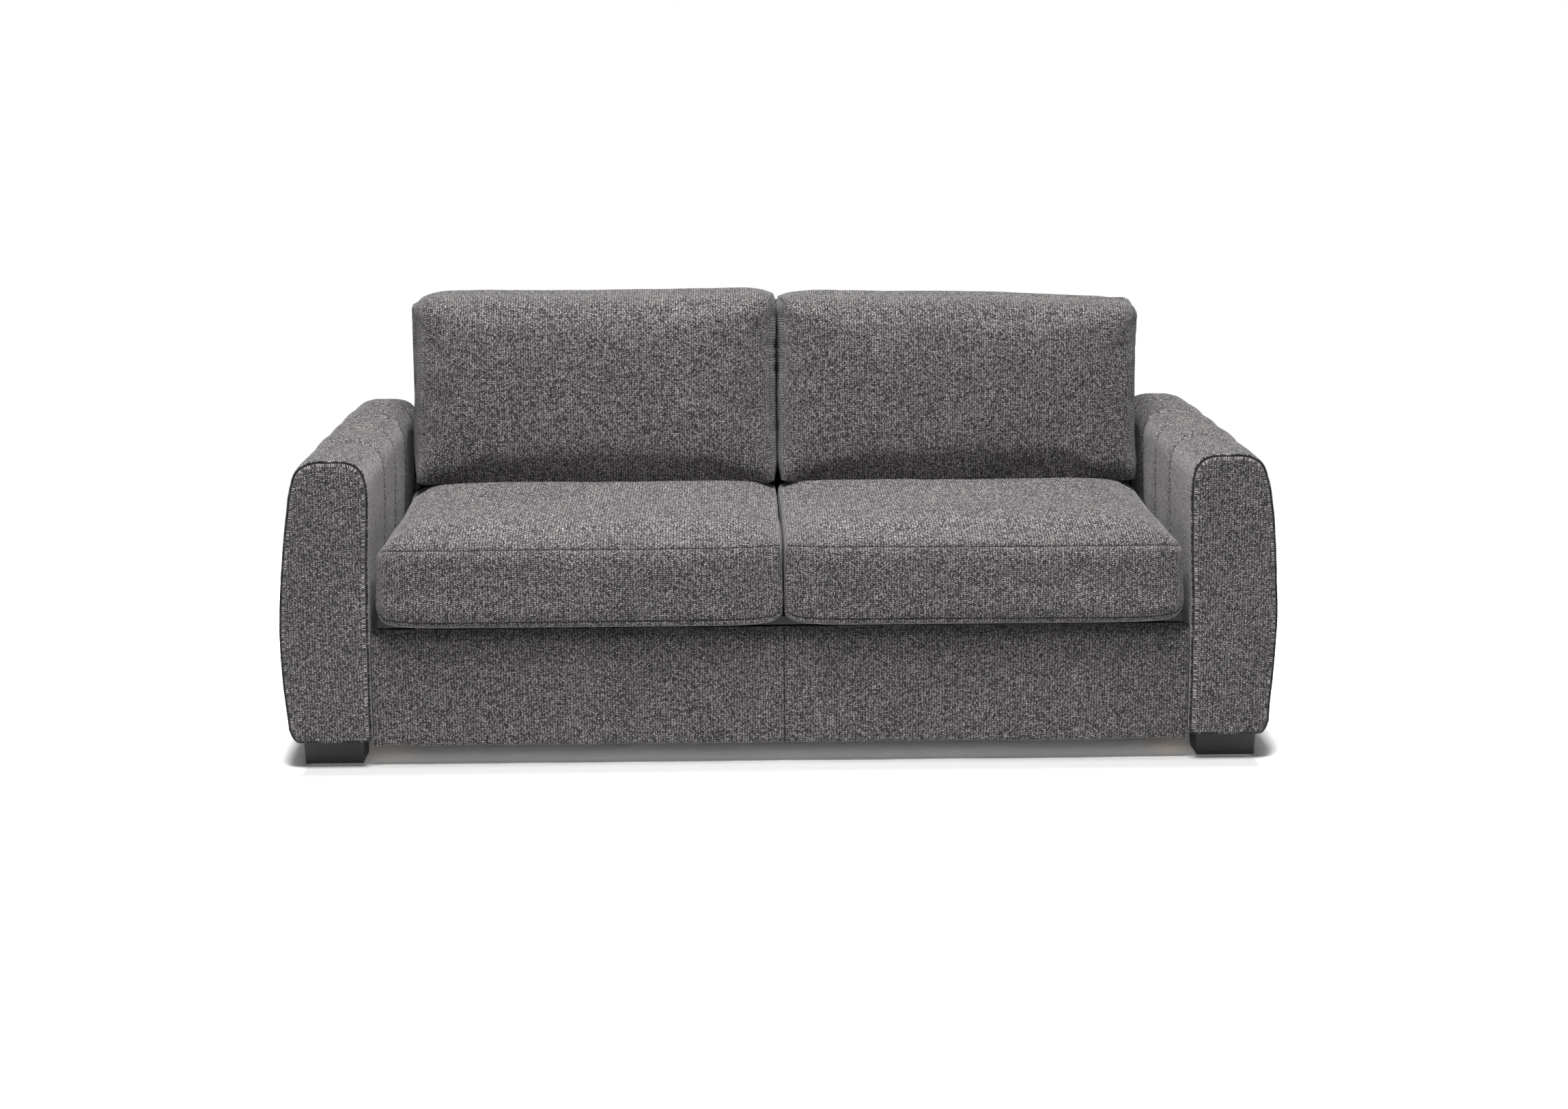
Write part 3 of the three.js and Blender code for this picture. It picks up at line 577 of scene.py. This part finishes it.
def bright_steel():
    material, start = new_finish("bright_zinc_plate")
    place = start.node("TexCoord", output="Object")
    turned = place.scaled((900, 60, 60)).noise(1.0, 3, 0.6)
    patch = place.noise(60, 3, 0.6)
    colour = patch.mix((0.50, 0.51, 0.53, 1), (0.66, 0.66, 0.64, 1))
    surface(start, turned, 0.00012, {"Base Color": colour, "Roughness": 0.22 + patch * 0.2, "Metallic": 1.0})
    return material


plate_face, screw_height = 0.7977, 0.0885
screw_places = (-0.355, -0.235, -0.085, 0.105, 0.305)


def screw_heads(name, sign, material):
    """Hexagon heads, 9 mm across their flats and 3.4 mm high with a washer face, pointing inwards."""
    points, faces, around, sixth = [], [], 24, math.pi / 3
    for screw in screw_places:
        for radius, depth, hexagon in ((0.0062, 0.0, False), (0.0062, 0.0007, False), (0.0052, 0.0008, True),
                                       (0.0052, 0.0030, True), (0.0045, 0.0034, True)):
            base = len(points)
            for i in range(around):
                angle = 2 * math.pi * i / around
                reach = radius
                if hexagon:
                    reach *= math.cos(sixth / 2) / math.cos(angle % sixth - sixth / 2)
                points.append((sign * (plate_face - depth), screw + reach * math.cos(angle),
                               screw_height + reach * math.sin(angle)))
            if depth:
                below = base - around
                faces += [[below + i, below + (i + 1) % around, base + (i + 1) % around, base + i]
                          for i in range(around)]
        faces.append(list(range(base, base + around)))
    if sign > 0:
        faces = [face[::-1] for face in faces]
    flat = [(points[q][1], points[q][2]) for face in faces for q in face]
    heads = make_piece(name, points, faces, flat, [0] * len(points), material)
    heads.data.shade_flat()
    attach(heads, "base")


coated, plated = grey_steel(), bright_steel()
dress(coated, *both("mechanism_plate"))
dress(plated, *both("front_base_pin", "rear_base_pin"))
for side, sign in sides:
    screw_heads(f"plate_screws_{side}", sign, plated)


# ----------------------------------------------
# Swing arms. Flat steel links, 30 by 6 mm and 300 mm between holes, that carry the bed out
# over the front rail. A steel tube welded between the front pair keeps both sides in step.

dress(coated, *both("front_swing_arm", "rear_swing_arm"), "torsion_tube")
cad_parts["torsion_tube"].data.shade_smooth()


# ----------------------------------------------
# Head section of the bed. A frame of 20 mm square tube with a welded wire grid and hinge lugs,
# and a 93 mm foam mattress on it in a quilted cotton cover with a taped edge all round.

def ticking():
    """Off-white cotton twill with fine upright stripes in its weave and sewn quilting."""
    material, start = new_finish("quilted_cotton_ticking")
    flat = start.node("UVMap", {"uv_map": "cloth"})
    laid = start.node("SeparateXYZ", {}, {0: flat})
    u, v = laid.out("X"), laid.out("Y")
    twill = (u + v * 0.6) * (2 * math.pi / 0.0016)
    ridge = twill.math("SINE", twill) * 0.5 + 0.5
    band = u * (2 * math.pi / 0.018)
    stripe = band.math("SINE", band) > 0.72
    soil = flat.noise(5, 4, 0.6)
    slub = flat.scaled((1, 12, 1)).noise(160, 2, 0.6)
    seam = start.node("Attribute", {"attribute_name": "seam"}, output="Fac")
    tone = 0.55 + slub * 0.3 + ridge * 0.12 - stripe * 0.12 - seam * 0.25 + (soil - 0.5) * 0.2
    colour = tone.ramp((0.2, (0.30, 0.285, 0.255)), (0.6, (0.47, 0.455, 0.425)), (1.0, (0.56, 0.545, 0.515)))
    surface(start, ridge * 0.6 + slub * 0.4, 0.0004,
            {"Base Color": colour, "Roughness": 0.85, "Specular IOR Level": 0.25, "Sheen Weight": 0.2})
    return material


def place_upright(points):
    """For the two sections that lie level when closed, which are drawn in the part's own axes."""
    return np.array(points)


def edge_tape(name, low, high, level, place, body, material):
    """The sewn tape round one edge of a mattress: an 8 mm round cord under folded tape."""
    turn, radius, sunk, around, strip = 0.020, 0.0042, 0.0012, 8, 0.0033
    loop = []
    for cx, cy, first in ((high[0] - turn, high[1] - turn, 0), (low[0] + turn, high[1] - turn, 90),
                          (low[0] + turn, low[1] + turn, 180), (high[0] - turn, low[1] + turn, 270)):
        for degrees in range(0, 91, 15):
            angle = math.radians(first + degrees)
            nx, ny = math.cos(angle), math.sin(angle)
            loop.append((cx + turn * nx, cy + turn * ny, nx, ny))
    dense = []
    for k, here in enumerate(loop):
        there = loop[(k + 1) % len(loop)]
        parts = max(1, round(math.dist(here[:2], there[:2]) / 0.03))
        dense += [tuple(a + (b - a) * t / parts for a, b in zip(here, there)) for t in range(parts)]
    points, faces, flat, run = [], [], [], 0.0
    for x, y, nx, ny in dense:
        for i in range(around):
            angle = 2 * math.pi * i / around
            out = radius * math.cos(angle) - sunk
            points.append((x + nx * out, y + ny * out, level + radius * math.sin(angle)))
    for k, here in enumerate(dense):
        n = (k + 1) % len(dense)
        end = run + math.dist(here[:2], dense[n][:2])
        for i in range(around):
            j = (i + 1) % around
            faces.append([k * around + i, n * around + i, n * around + j, k * around + j])
            left, right = i * strip, (i + 1) * strip
            flat += [(left, run), (left, end), (right, end), (right, run)]
        run = end
    tape = make_piece(name, place(points), faces, flat, [0] * len(points), material)
    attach(tape, body)


def make_mattress(name, low, high, place, body, material):
    """A foam section in a quilted cover: diamonds on both faces, taped edges, sides drawn in."""
    diamond, quilted, drawn_in, tape_inset = 0.115, 0.0042, 0.0025, 0.0105
    square, points, faces, corners = padded_block(low, high, 0.022, 0.0105)
    seam = np.zeros(len(points))
    facing = on_plane(square, 2, high[2]) * 1.0 - on_plane(square, 2, low[2])
    places = shares(points, low, high).T
    for i, (x, y, _) in enumerate(points):
        to_side, to_end = min(x - low[0], high[0] - x), min(y - low[1], high[1] - y)
        border = min(to_side, to_end)
        if facing[i]:
            a, b = (x + y) / diamond, (x - y) / diamond
            dip = bump_at(min(abs(a - round(a)), abs(b - round(b))) * diamond / math.sqrt(2), 0.011)
            fade = clipped((border - 0.012) / 0.03)
            points[i][2] -= facing[i] * quilted * dip * fade
            seam[i] = dip ** 4 * fade * 0.6
        elif border < 0.03:
            axis = 0 if to_side < to_end else 1
            points[i][axis] += math.copysign(drawn_in * places[i][2] ** 2, places[i][axis])
    mattress = make_piece(name, place(points), faces, corners, seam, material)
    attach(mattress, body)
    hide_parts(name.replace("_cover", ""))
    for where, level in (("lower", low[2] + tape_inset), ("upper", high[2] - tape_inset)):
        edge_tape(f"{name}_{where}_tape", low, high, level, place, body, material)


cotton = ticking()
dress(coated, "head_bed_frame")
dress(plated, *both("front_lift_pin", "rear_lift_pin", "unfold_pin"))
mattress_half = 0.750
make_mattress("mattress_head_cover", (-mattress_half, -0.320, 0.0803), (mattress_half, 0.400, 0.173),
              place_upright, "head_section", cotton)


# ----------------------------------------------
# Seat section of the bed, lying over the head section when closed: frame, mattress, a board in
# black cloth and two seat cushions, each a foam block with a crowned top in a cover of top
# panel and boxed border, topstitched round the top edge and again just above the bottom edge.

def board_cloth():
    """Black spunbonded cloth with its heat-sealed dots, stretched over the boards."""
    material, start = new_finish("black_board_cloth")
    place = start.node("TexCoord", output="Object")
    laid = start.node("SeparateXYZ", {}, {0: place})
    dots_per_metre = 420
    x, y = laid.out("X") * dots_per_metre, (laid.out("Y") + laid.out("Z")) * dots_per_metre
    dots = (x - x.math("FLOOR", x) - 0.5) ** 2 + (y - y.math("FLOOR", y) - 0.5) ** 2
    sealed = dots < 0.09
    fibre = place.noise(700, 4, 0.7)
    colour = (sealed * 0.5 + fibre * 0.5).mix((0.022, 0.022, 0.024, 1), (0.075, 0.073, 0.076, 1))
    surface(start, fibre * 0.6 - sealed * 0.5, 0.0004, {"Base Color": colour, "Roughness": 0.9})
    return material


def swell(piece, held, cap=0.008, pressure=4.0, frames=20):
    """Blows the cover up like a filled cushion, with no point moving further than about cap and
    the held ones not at all."""
    count = len(piece.data.vertices)
    rest = np.empty(count * 3)
    piece.data.vertices.foreach_get("co", rest)
    rest = rest.reshape(-1, 3)
    group = piece.vertex_groups.new(name="held")
    group.add(np.flatnonzero(held).tolist(), 1.0, "REPLACE")
    cloth = piece.modifiers.new("filling", "CLOTH")
    settings = cloth.settings
    settings.quality = 4
    settings.mass = 0.35
    settings.tension_stiffness = settings.compression_stiffness = 22
    settings.shear_stiffness = 8
    settings.bending_stiffness = 1.2
    settings.use_pressure = True
    settings.uniform_pressure_force = pressure
    settings.vertex_group_mass = "held"
    settings.effector_weights.gravity = 0
    cloth.point_cache.frame_start = 1
    cloth.point_cache.frame_end = frames
    scene = bpy.context.scene
    for number in range(1, frames + 1):
        scene.frame_set(number)
    filled = piece.evaluated_get(bpy.context.evaluated_depsgraph_get())
    moved = np.empty(count * 3)
    filled.data.vertices.foreach_get("co", moved)
    step = moved.reshape(-1, 3) - rest
    length = np.linalg.norm(step, axis=1)[:, None]
    step *= cap * np.tanh(length / cap) / np.maximum(length, 1e-9)
    piece.modifiers.remove(cloth)
    piece.vertex_groups.remove(group)
    scene.frame_set(1)
    piece.data.vertices.foreach_set("co", (rest + step).ravel())
    piece.data.update()


def mirrored(faces, corners):
    """Faces and flat corners for the same points mirrored to the left."""
    flat = [(-a, b) for k in range(0, len(corners), 4) for a, b in corners[k:k + 4][::-1]]
    return [face[::-1] for face in faces], flat


def work_over(piece, change):
    """Moves each point of a piece by what change gives for it, from its place and its normal."""
    mesh = piece.data
    mesh.update()
    normals = [v.normal.copy() for v in mesh.vertices]
    for vertex, normal in zip(mesh.vertices, normals):
        vertex.co = change(vertex.index, vertex.co.copy(), normal)
    mesh.update()


seat_low, seat_top_edge, seat_crown = 0.3086, 0.4606, 0.028
seat_front, seat_rear = -0.474, 0.190
seat_inner, seat_outer = 0.001, 0.826
seat_lip_from, seat_lip_drop, seat_lip_low = -0.4475, 0.0185, 0.2895
cushion_joint = 0.0045


def beside_joint(x, sign, gap=0.0009):
    """Keeps a point on its own side of the joint between the two cushions."""
    return cushion_joint + sign * max(sign * (x - cushion_joint), gap)


def make_seat_cushion(side, sign, material):
    """A seat cushion, squarer at its bottom, rear and joint, with a lip over the board's front."""
    low = (seat_inner, seat_front, seat_low)
    high = (seat_outer, seat_rear, seat_top_edge)
    seam_low = seat_low + 0.0126
    square, points, faces, corners = padded_block(low, high, 0.030, 0.0095, marks=((), (), (seam_low,)),
                                                  drawn=0.4)
    border = np.any([on_plane(square, axis, end[axis]) for axis in (0, 1) for end in (low, high)], axis=0)
    seam = ((on_plane(square, 2, seat_top_edge) | on_plane(square, 2, seam_low)) & border).astype(float)
    u, v, w = shares(points, low, high)
    lift = (w + 1) / 2
    bottom = 0.55 * (1 - lift) ** 2 * (1 - u ** 8)
    joined = 0.8 * np.clip(-u, 0, 1) ** 6 * np.clip(lift * 4, 0, 1)
    squared = np.maximum(np.maximum(bottom, joined), 0.45 * np.clip(v, 0, 1) ** 4)
    points += (square - points) * squared[:, None]
    crown = seat_crown * (1 - np.where(u < 0, 0.3, 1.0) * u ** 8) * np.where(v < 0, 1 - v ** 4, 1 - v ** 12)
    points[:, 2] += lift * (crown + 0.008 * np.clip(v, 0, 1))
    points[:, 1] -= np.where(v < 0, 0.005 * v * v * (1 - u ** 4) * (1 - w ** 2), 0)
    over = np.clip((seat_lip_from - points[:, 1]) / 0.012, 0, 1)
    points[:, 2] -= seat_lip_drop * over * over * (3 - 2 * over) * (1 - lift) ** 1.3 * (1 - u ** 14)
    points[:, 0] -= 0.004 * np.maximum(u, 0) * (1 - v * v) + 0.006 * np.clip(-u, 0, 1) ** 2
    points[:, 0] *= sign
    points[:, 0] += cushion_joint * (1 - np.abs(points[:, 0]) / seat_outer)
    if sign < 0:
        faces, corners = mirrored(faces, corners)
    piece = make_piece(f"seat_cushion_{side}_cover", points, faces, corners, seam, material)
    swell(piece, held=on_plane(square, 2, seat_low))

    def sew(index, co, normal):
        _, y, z = square[index]
        close = math.hypot(y - seat_front, z - seat_top_edge)
        if border[index]:
            close = min(close, abs(z - seat_top_edge))
        pucker = wander(0.0011, co.x * 34, co.y * 34, z * 12) * bump_at(close, 0.02)
        sit = wander(0.0026, co.x * 4.3 + sign * 2, co.y * 4.3, z * 5)
        rumple = wander(0.0009, co.x * 13, co.y * 13 + sign * 4, z * 13)
        free = min(1.0, (z - seat_low) / 0.05)
        co += normal * (pucker + (sit + rumple) * free - 0.0021 * seam[index])
        co.z = max(co.z, seat_low + 0.0001 if co.y > seat_lip_from + 0.0005 else seat_lip_low)
        co.x = beside_joint(co.x, sign)
        return co

    work_over(piece, sew)
    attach(piece, "seat_section")
    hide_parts(f"seat_cushion_{side}")


def deck_edge(material):
    """The band of cloth that is wrapped over the board's front edge and stapled under it."""
    half = 0.822
    _, points, faces, corners = padded_block((-half, -0.4426, 0.2906), (half, -0.4402, 0.3080), 0.001, 0.012)
    band = make_piece("seat_deck_edge_band", points, faces, corners, [0] * len(points), material)
    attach(band, "seat_section")


dress(coated, "seat_bed_frame")
board_cover = board_cloth()
dress(board_cover, "seat_deck", "back_board")
dress(plated, *both("fold_pin", "middle_leg_pin"))
make_mattress("mattress_middle_cover", (-mattress_half, -0.320, 0.177), (mattress_half, 0.270, 0.2697),
              place_upright, "seat_section", cotton)
deck_edge(board_cover)
for side, sign in sides:
    make_seat_cushion(side, sign, knit)


# ----------------------------------------------
# Back section of the bed, standing up and leaning back 6 degrees when closed. Frame, mattress
# and board like the seat section's, a webbing loop at its end to pull the bed out by, and two
# back cushions filled with fibre, whose front panels are gathered a little at their seams.

fold_y, fold_z = 0.275, 0.280
lean = math.radians(6)


def place_leaning(points):
    """From the back section's own axes, along its length and out of its cushioned side."""
    points = np.array(points, float)
    up, out = points[:, 1].copy(), points[:, 2].copy()
    points[:, 1] = fold_y + up * math.sin(lean) - out * math.cos(lean)
    points[:, 2] = fold_z + up * math.cos(lean) + out * math.sin(lean)
    return points


back_foot, back_head, back_side = 0.2140, 0.620, 0.808
back_board_face, back_depth = 0.0206, 0.196
# The foot legs swing past the cushions' outer sides here.
leg_side = 0.8113
# Creases where the cushions press on each other: height, reach from the joint and depth.
back_creases = ((0.505, 0.055, 0.0042), (0.482, 0.045, 0.0036), (0.458, 0.04, 0.0028), (0.33, 0.05, 0.002))


def make_back_cushion(side, sign, material):
    """One back cushion. The right one's top falls towards its outer corner."""
    low = (0.001, back_foot, back_board_face)
    high = (back_side, back_head, back_board_face + back_depth)
    square, points, faces, corners = padded_block(low, high, 0.040, 0.0095)
    ends = on_plane(square, 0, low[0]) | on_plane(square, 0, high[0])
    rim = ends | on_plane(square, 1, low[1]) | on_plane(square, 1, high[1])
    # Marks below 0 darken the knit with painted shade along the rear rim's seams and, less, along the front
    # face's side edges.
    seam = -1.0 * (on_plane(square, 2, low[2]) & rim) - 0.3 * (on_plane(square, 2, high[2]) & ends)
    u, v, w = shares(points, low, high)
    notch = 0.6 * np.clip(-u, 0, 1) ** 8 * np.clip(v, 0, 1) ** 8
    points += (square - points) * (0.05 + 0.62 * ((1 - v) / 2) ** 6 + notch)[:, None]
    u, v, w = shares(points, low, high)
    points[:, 2] += 0.016 * (w + 1) / 2 * (1 - u ** 4) * (1 - v ** 4)
    raised = 0.001 if sign < 0 else -0.009 - 0.0095 * u - 0.005 * u * u
    raised = raised + 0.004 * np.clip(-u, 0, 1) ** 6
    points[:, 1] += np.where(v > 0, v * v * raised, 0)
    points[:, 1] -= (math.tan(lean) * (points[:, 2] - low[2]) + 0.008) * (1 - v) / 2
    points[:, 0] -= 0.003 * np.maximum(u, 0) * (1 - v * v) + 0.004 * np.clip(-u, 0, 1) ** 2
    points[:, 0] += (0.007 if sign > 0 else 0.001 - 0.009 * np.clip(v, 0, 1)) * np.maximum(0, u) ** 3
    points[:, 0] *= sign
    points[:, 0] += cushion_joint * (1 - np.abs(points[:, 0]) / back_side)
    if sign < 0:
        faces, corners = mirrored(faces, corners)
    piece = make_piece(f"back_cushion_{side}_cover", place_leaning(points), faces, corners, seam,
                       material)
    swell(piece, held=on_plane(square, 2, low[2]))

    def sew(index, co, normal):
        x, up, out = square[index]
        close = min(x - low[0], high[0] - x, up - low[1], high[1] - up) + max(0.0, high[2] - out)
        gather = wander(0.0016, co.x * 30, up * 30, out * 20 + sign * 7) * bump_at(close, 0.03)
        fill = wander(0.0036, co.x * 4 + sign * 3, up * 4, out * 4)
        lump = wander(0.0014, co.x * 11, up * 11 + sign * 2, out * 11)
        crease = sum(deep * bump_at(up - height, 0.0075) * bump_at(x, reach)
                     for height, reach, deep in back_creases) * (1 if sign < 0 else 0.55)
        free = min(1.0, (out - low[2]) / 0.06)
        co += normal * (gather + (fill + lump - crease) * free + 0.0024 * seam[index])
        co.x = sign * min(sign * beside_joint(co.x, sign), leg_side)
        return co

    work_over(piece, sew)
    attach(piece, "back_section")
    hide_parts(f"back_cushion_{side}")


def pull_loop(material):
    """Black polyester webbing, 120 mm wide, folded into a flat loop and held under the end tube."""
    near, far, half, wall, width, stations = 0.5753, 0.6033, 0.0020, 0.0011, 0.12, 13
    bend, inside = far - half, half - wall

    def round_bend(radius, angles):
        return [(bend + radius * math.sin(a), -radius * math.cos(a)) for a in angles]

    ring = [(near, -half), (bend, -half)] + round_bend(half, np.linspace(0.3, math.pi - 0.3, 7))
    ring += [(bend, half), (near, half), (near, inside), (bend, inside)]
    ring += round_bend(inside, np.linspace(math.pi - 0.3, 0.3, 5)) + [(bend, -inside), (near, -inside)]
    count = len(ring)
    points = [(width * (k / (stations - 1) - 0.5), s, n) for k in range(stations) for s, n in ring]
    faces = []
    for start in range(0, (stations - 1) * count, count):
        for i in range(count):
            j = (i + 1) % count
            faces.append([start + i, start + j, start + count + j, start + count + i])
    faces += [list(range(count))[::-1], [(stations - 1) * count + i for i in range(count)]]
    flat = [(points[q][0], points[q][1] + points[q][2]) for face in faces for q in face]
    loop = make_piece("pull_strap_webbing", place_leaning(points), faces, flat, [0] * len(points), material)
    loop.data.shade_flat()
    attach(loop, "back_section")
    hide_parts("pull_strap")


def webbing():
    material, start = new_finish("black_webbing")
    flat = start.node("UVMap", {"uv_map": "cloth"})
    laid = start.node("SeparateXYZ", {}, {0: flat})
    u, v = laid.out("X") * (2 * math.pi / 0.0030), laid.out("Y") * (2 * math.pi / 0.0022)
    weave = (u.math("SINE", u) * v.math("SINE", v)) * 0.5 + 0.5
    colour = weave.mix((0.008, 0.008, 0.009, 1), (0.05, 0.05, 0.052, 1))
    surface(start, weave, 0.0006, {"Base Color": colour, "Roughness": 0.6})
    return material


dress(coated, "back_bed_frame")
dress(plated, *both("foot_leg_pin"))
make_mattress("mattress_foot_cover", (-mattress_half, 0.005, -0.103), (mattress_half, 0.580, -0.0103),
              place_leaning, "back_section", cotton)
pull_loop(webbing())
for side, sign in sides:
    make_back_cushion(side, sign, knit)


# ----------------------------------------------
# Folding legs. Flat steel legs on the outer sides of the seat and back frames, with black
# rubber caps pressed over their ends, that swing down under the bed as it opens.

def black_rubber():
    material, start = new_finish("black_rubber")
    place = start.node("TexCoord", output="Object")
    grain = place.noise(1300, 3, 0.6)
    dust = place.noise(70, 4, 0.65)
    colour = dust.mix((0.012, 0.012, 0.012, 1), (0.045, 0.044, 0.043, 1))
    surface(start, grain, 0.0004, {"Base Color": colour, "Roughness": 0.72 + dust * 0.2})
    return material


dress(coated, *both("middle_leg", "foot_leg"))
dress(black_rubber(), *both("middle_leg_cap", "foot_leg_cap"))


# ----------------------------------------------
# Studio. A white floor that keeps the sofa's soft shadow and fades into a white surround, with painted
# light under the sofa and painted shade near its front and sides, a wide soft lamp overhead, a weak one in
# front, and the camera at the photograph's place.

def seen_directly(start):
    """1 for rays that show a surface to the camera, and 0 for those that carry its light."""
    path = start.node("LightPath")
    seen = path.math("MAXIMUM", path.out("Is Camera Ray"), path.out("Is Glossy Ray"))
    return seen.math("MAXIMUM", seen, path.out("Is Transmission Ray"))


scene = bpy.context.scene
scene.view_settings.view_transform = "Standard"

floor_mesh = bpy.data.meshes.new("studio_floor")
reach = 7.0
floor_mesh.from_pydata([(-reach, -reach, 0), (reach, -reach, 0), (reach, reach, 0), (-reach, reach, 0)],
                       [], [(0, 1, 2, 3)])
floor = bpy.data.objects.new("studio_floor", floor_mesh)
scene.collection.objects.link(floor)
material, start = new_finish("white_studio_floor")
place = start.node("TexCoord", output="Object")
distance = place.node("VectorMath", {"operation": "LENGTH"}, {0: place}, "Value")
kept = distance.node("MapRange", {"interpolation_type": "SMOOTHSTEP"},
                     {"Value": distance, "From Min": 1.6, "From Max": 3.0, "To Min": 1.0, "To Max": 0.0})
laid = start.node("SeparateXYZ", {}, {0: place})
beside = abs(laid.out("X")) - 1.0
beside = beside.math("MAXIMUM", beside, laid.out("Y") - 0.5)
away = beside.math("MAXIMUM", beside, -0.46 - laid.out("Y"))
# Seen by the camera, the floor's colour is greyer near the sofa's front and sides as painted shade, and
# whitens further off.
painted_shade_fading = start.node("MapRange", {}, {"Value": away.math("MAXIMUM", away, beside * 5 + 0.18),
                                    "From Min": 0.04, "From Max": 0.45})
# Under the sofa the colour seen by the camera is much lighter and a little blue, as painted light that lifts
# the shadow and cancels its brown bounce.
under = start.node("MapRange", {}, {"Value": away, "From Min": -0.10, "From Max": -0.02,
                                    "To Min": 1.0, "To Max": 0.0})
grain = place.noise(40, 2, 0.5) * 0.02
bounce = start.node("BsdfDiffuse", {}, {"Color": (0.62, 0.62, 0.62, 1)})
floor_colour_with_painted_shade = (painted_shade_fading + grain).mix((0.51, 0.51, 0.51, 1), (2.2, 2.2, 2.2, 1))
bright = start.node("BsdfDiffuse", {}, {"Color": under.mix(floor_colour_with_painted_shade, (4.85, 5.15, 5.5, 1))})
shown = start.node("MixShader", {}, {0: seen_directly(start), 1: bounce, 2: bright})
clear = start.node("BsdfTransparent")
faded = start.node("MixShader", {}, {0: kept, 1: clear, 2: shown})
start.node("OutputMaterial", {}, {"Surface": faded})
floor_mesh.materials.append(material)

world = bpy.data.worlds.new("white_surround")
scene.world = world
world.use_nodes = True
world.node_tree.nodes.clear()
start = Wire(world.node_tree)
light = start.node("Background", {}, {"Color": (1, 1, 1, 1), "Strength": 0.21})
white = start.node("Background", {}, {"Color": (1, 1, 1, 1), "Strength": 1.0})
shown = start.node("MixShader", {}, {0: seen_directly(start), 1: light, 2: white})
start.node("OutputWorld", {}, {"Surface": shown})


def soft_lamp(name, power, size, place, target):
    lamp = bpy.data.lights.new(name, "AREA")
    lamp.shape = "RECTANGLE"
    lamp.size, lamp.size_y = size
    lamp.energy = power
    holder = bpy.data.objects.new(name, lamp)
    scene.collection.objects.link(holder)
    holder.location = place
    holder.rotation_euler = (Vector(target) - Vector(place)).to_track_quat("-Z", "Y").to_euler()


soft_lamp("overhead_lamp", 500, (2.2, 2.0), (-0.1, -1.6, 5.5), (0.0, 0.0, 0.5))
soft_lamp("front_lamp", 8, (3.2, 2.0), (-0.4, -4.2, 2.3), (0.0, 0.0, 0.45))

photo_width, focal_length = 2296, 3850  # in the photograph's pixels
lens = bpy.data.cameras.new("photo_camera")
lens.sensor_width = 36
lens.lens = focal_length / photo_width * lens.sensor_width
camera = bpy.data.objects.new("photo_camera", lens)
scene.collection.objects.link(camera)
yaw, pitch, roll = (math.radians(a) for a in (1.2469, -11.0087, -0.2551))
ahead = Vector((math.sin(yaw) * math.cos(pitch), math.cos(yaw) * math.cos(pitch), math.sin(pitch)))
level = ahead.cross(Vector((0, 0, 1))).normalized()
above = level.cross(ahead)
right = level * math.cos(roll) + above * math.sin(roll)
up = above * math.cos(roll) - level * math.sin(roll)
turned = Matrix((right, up, -ahead)).transposed().to_4x4()
turned.translation = (-0.1077, -5.681, 1.4552)
camera.matrix_world = turned
scene.camera = camera
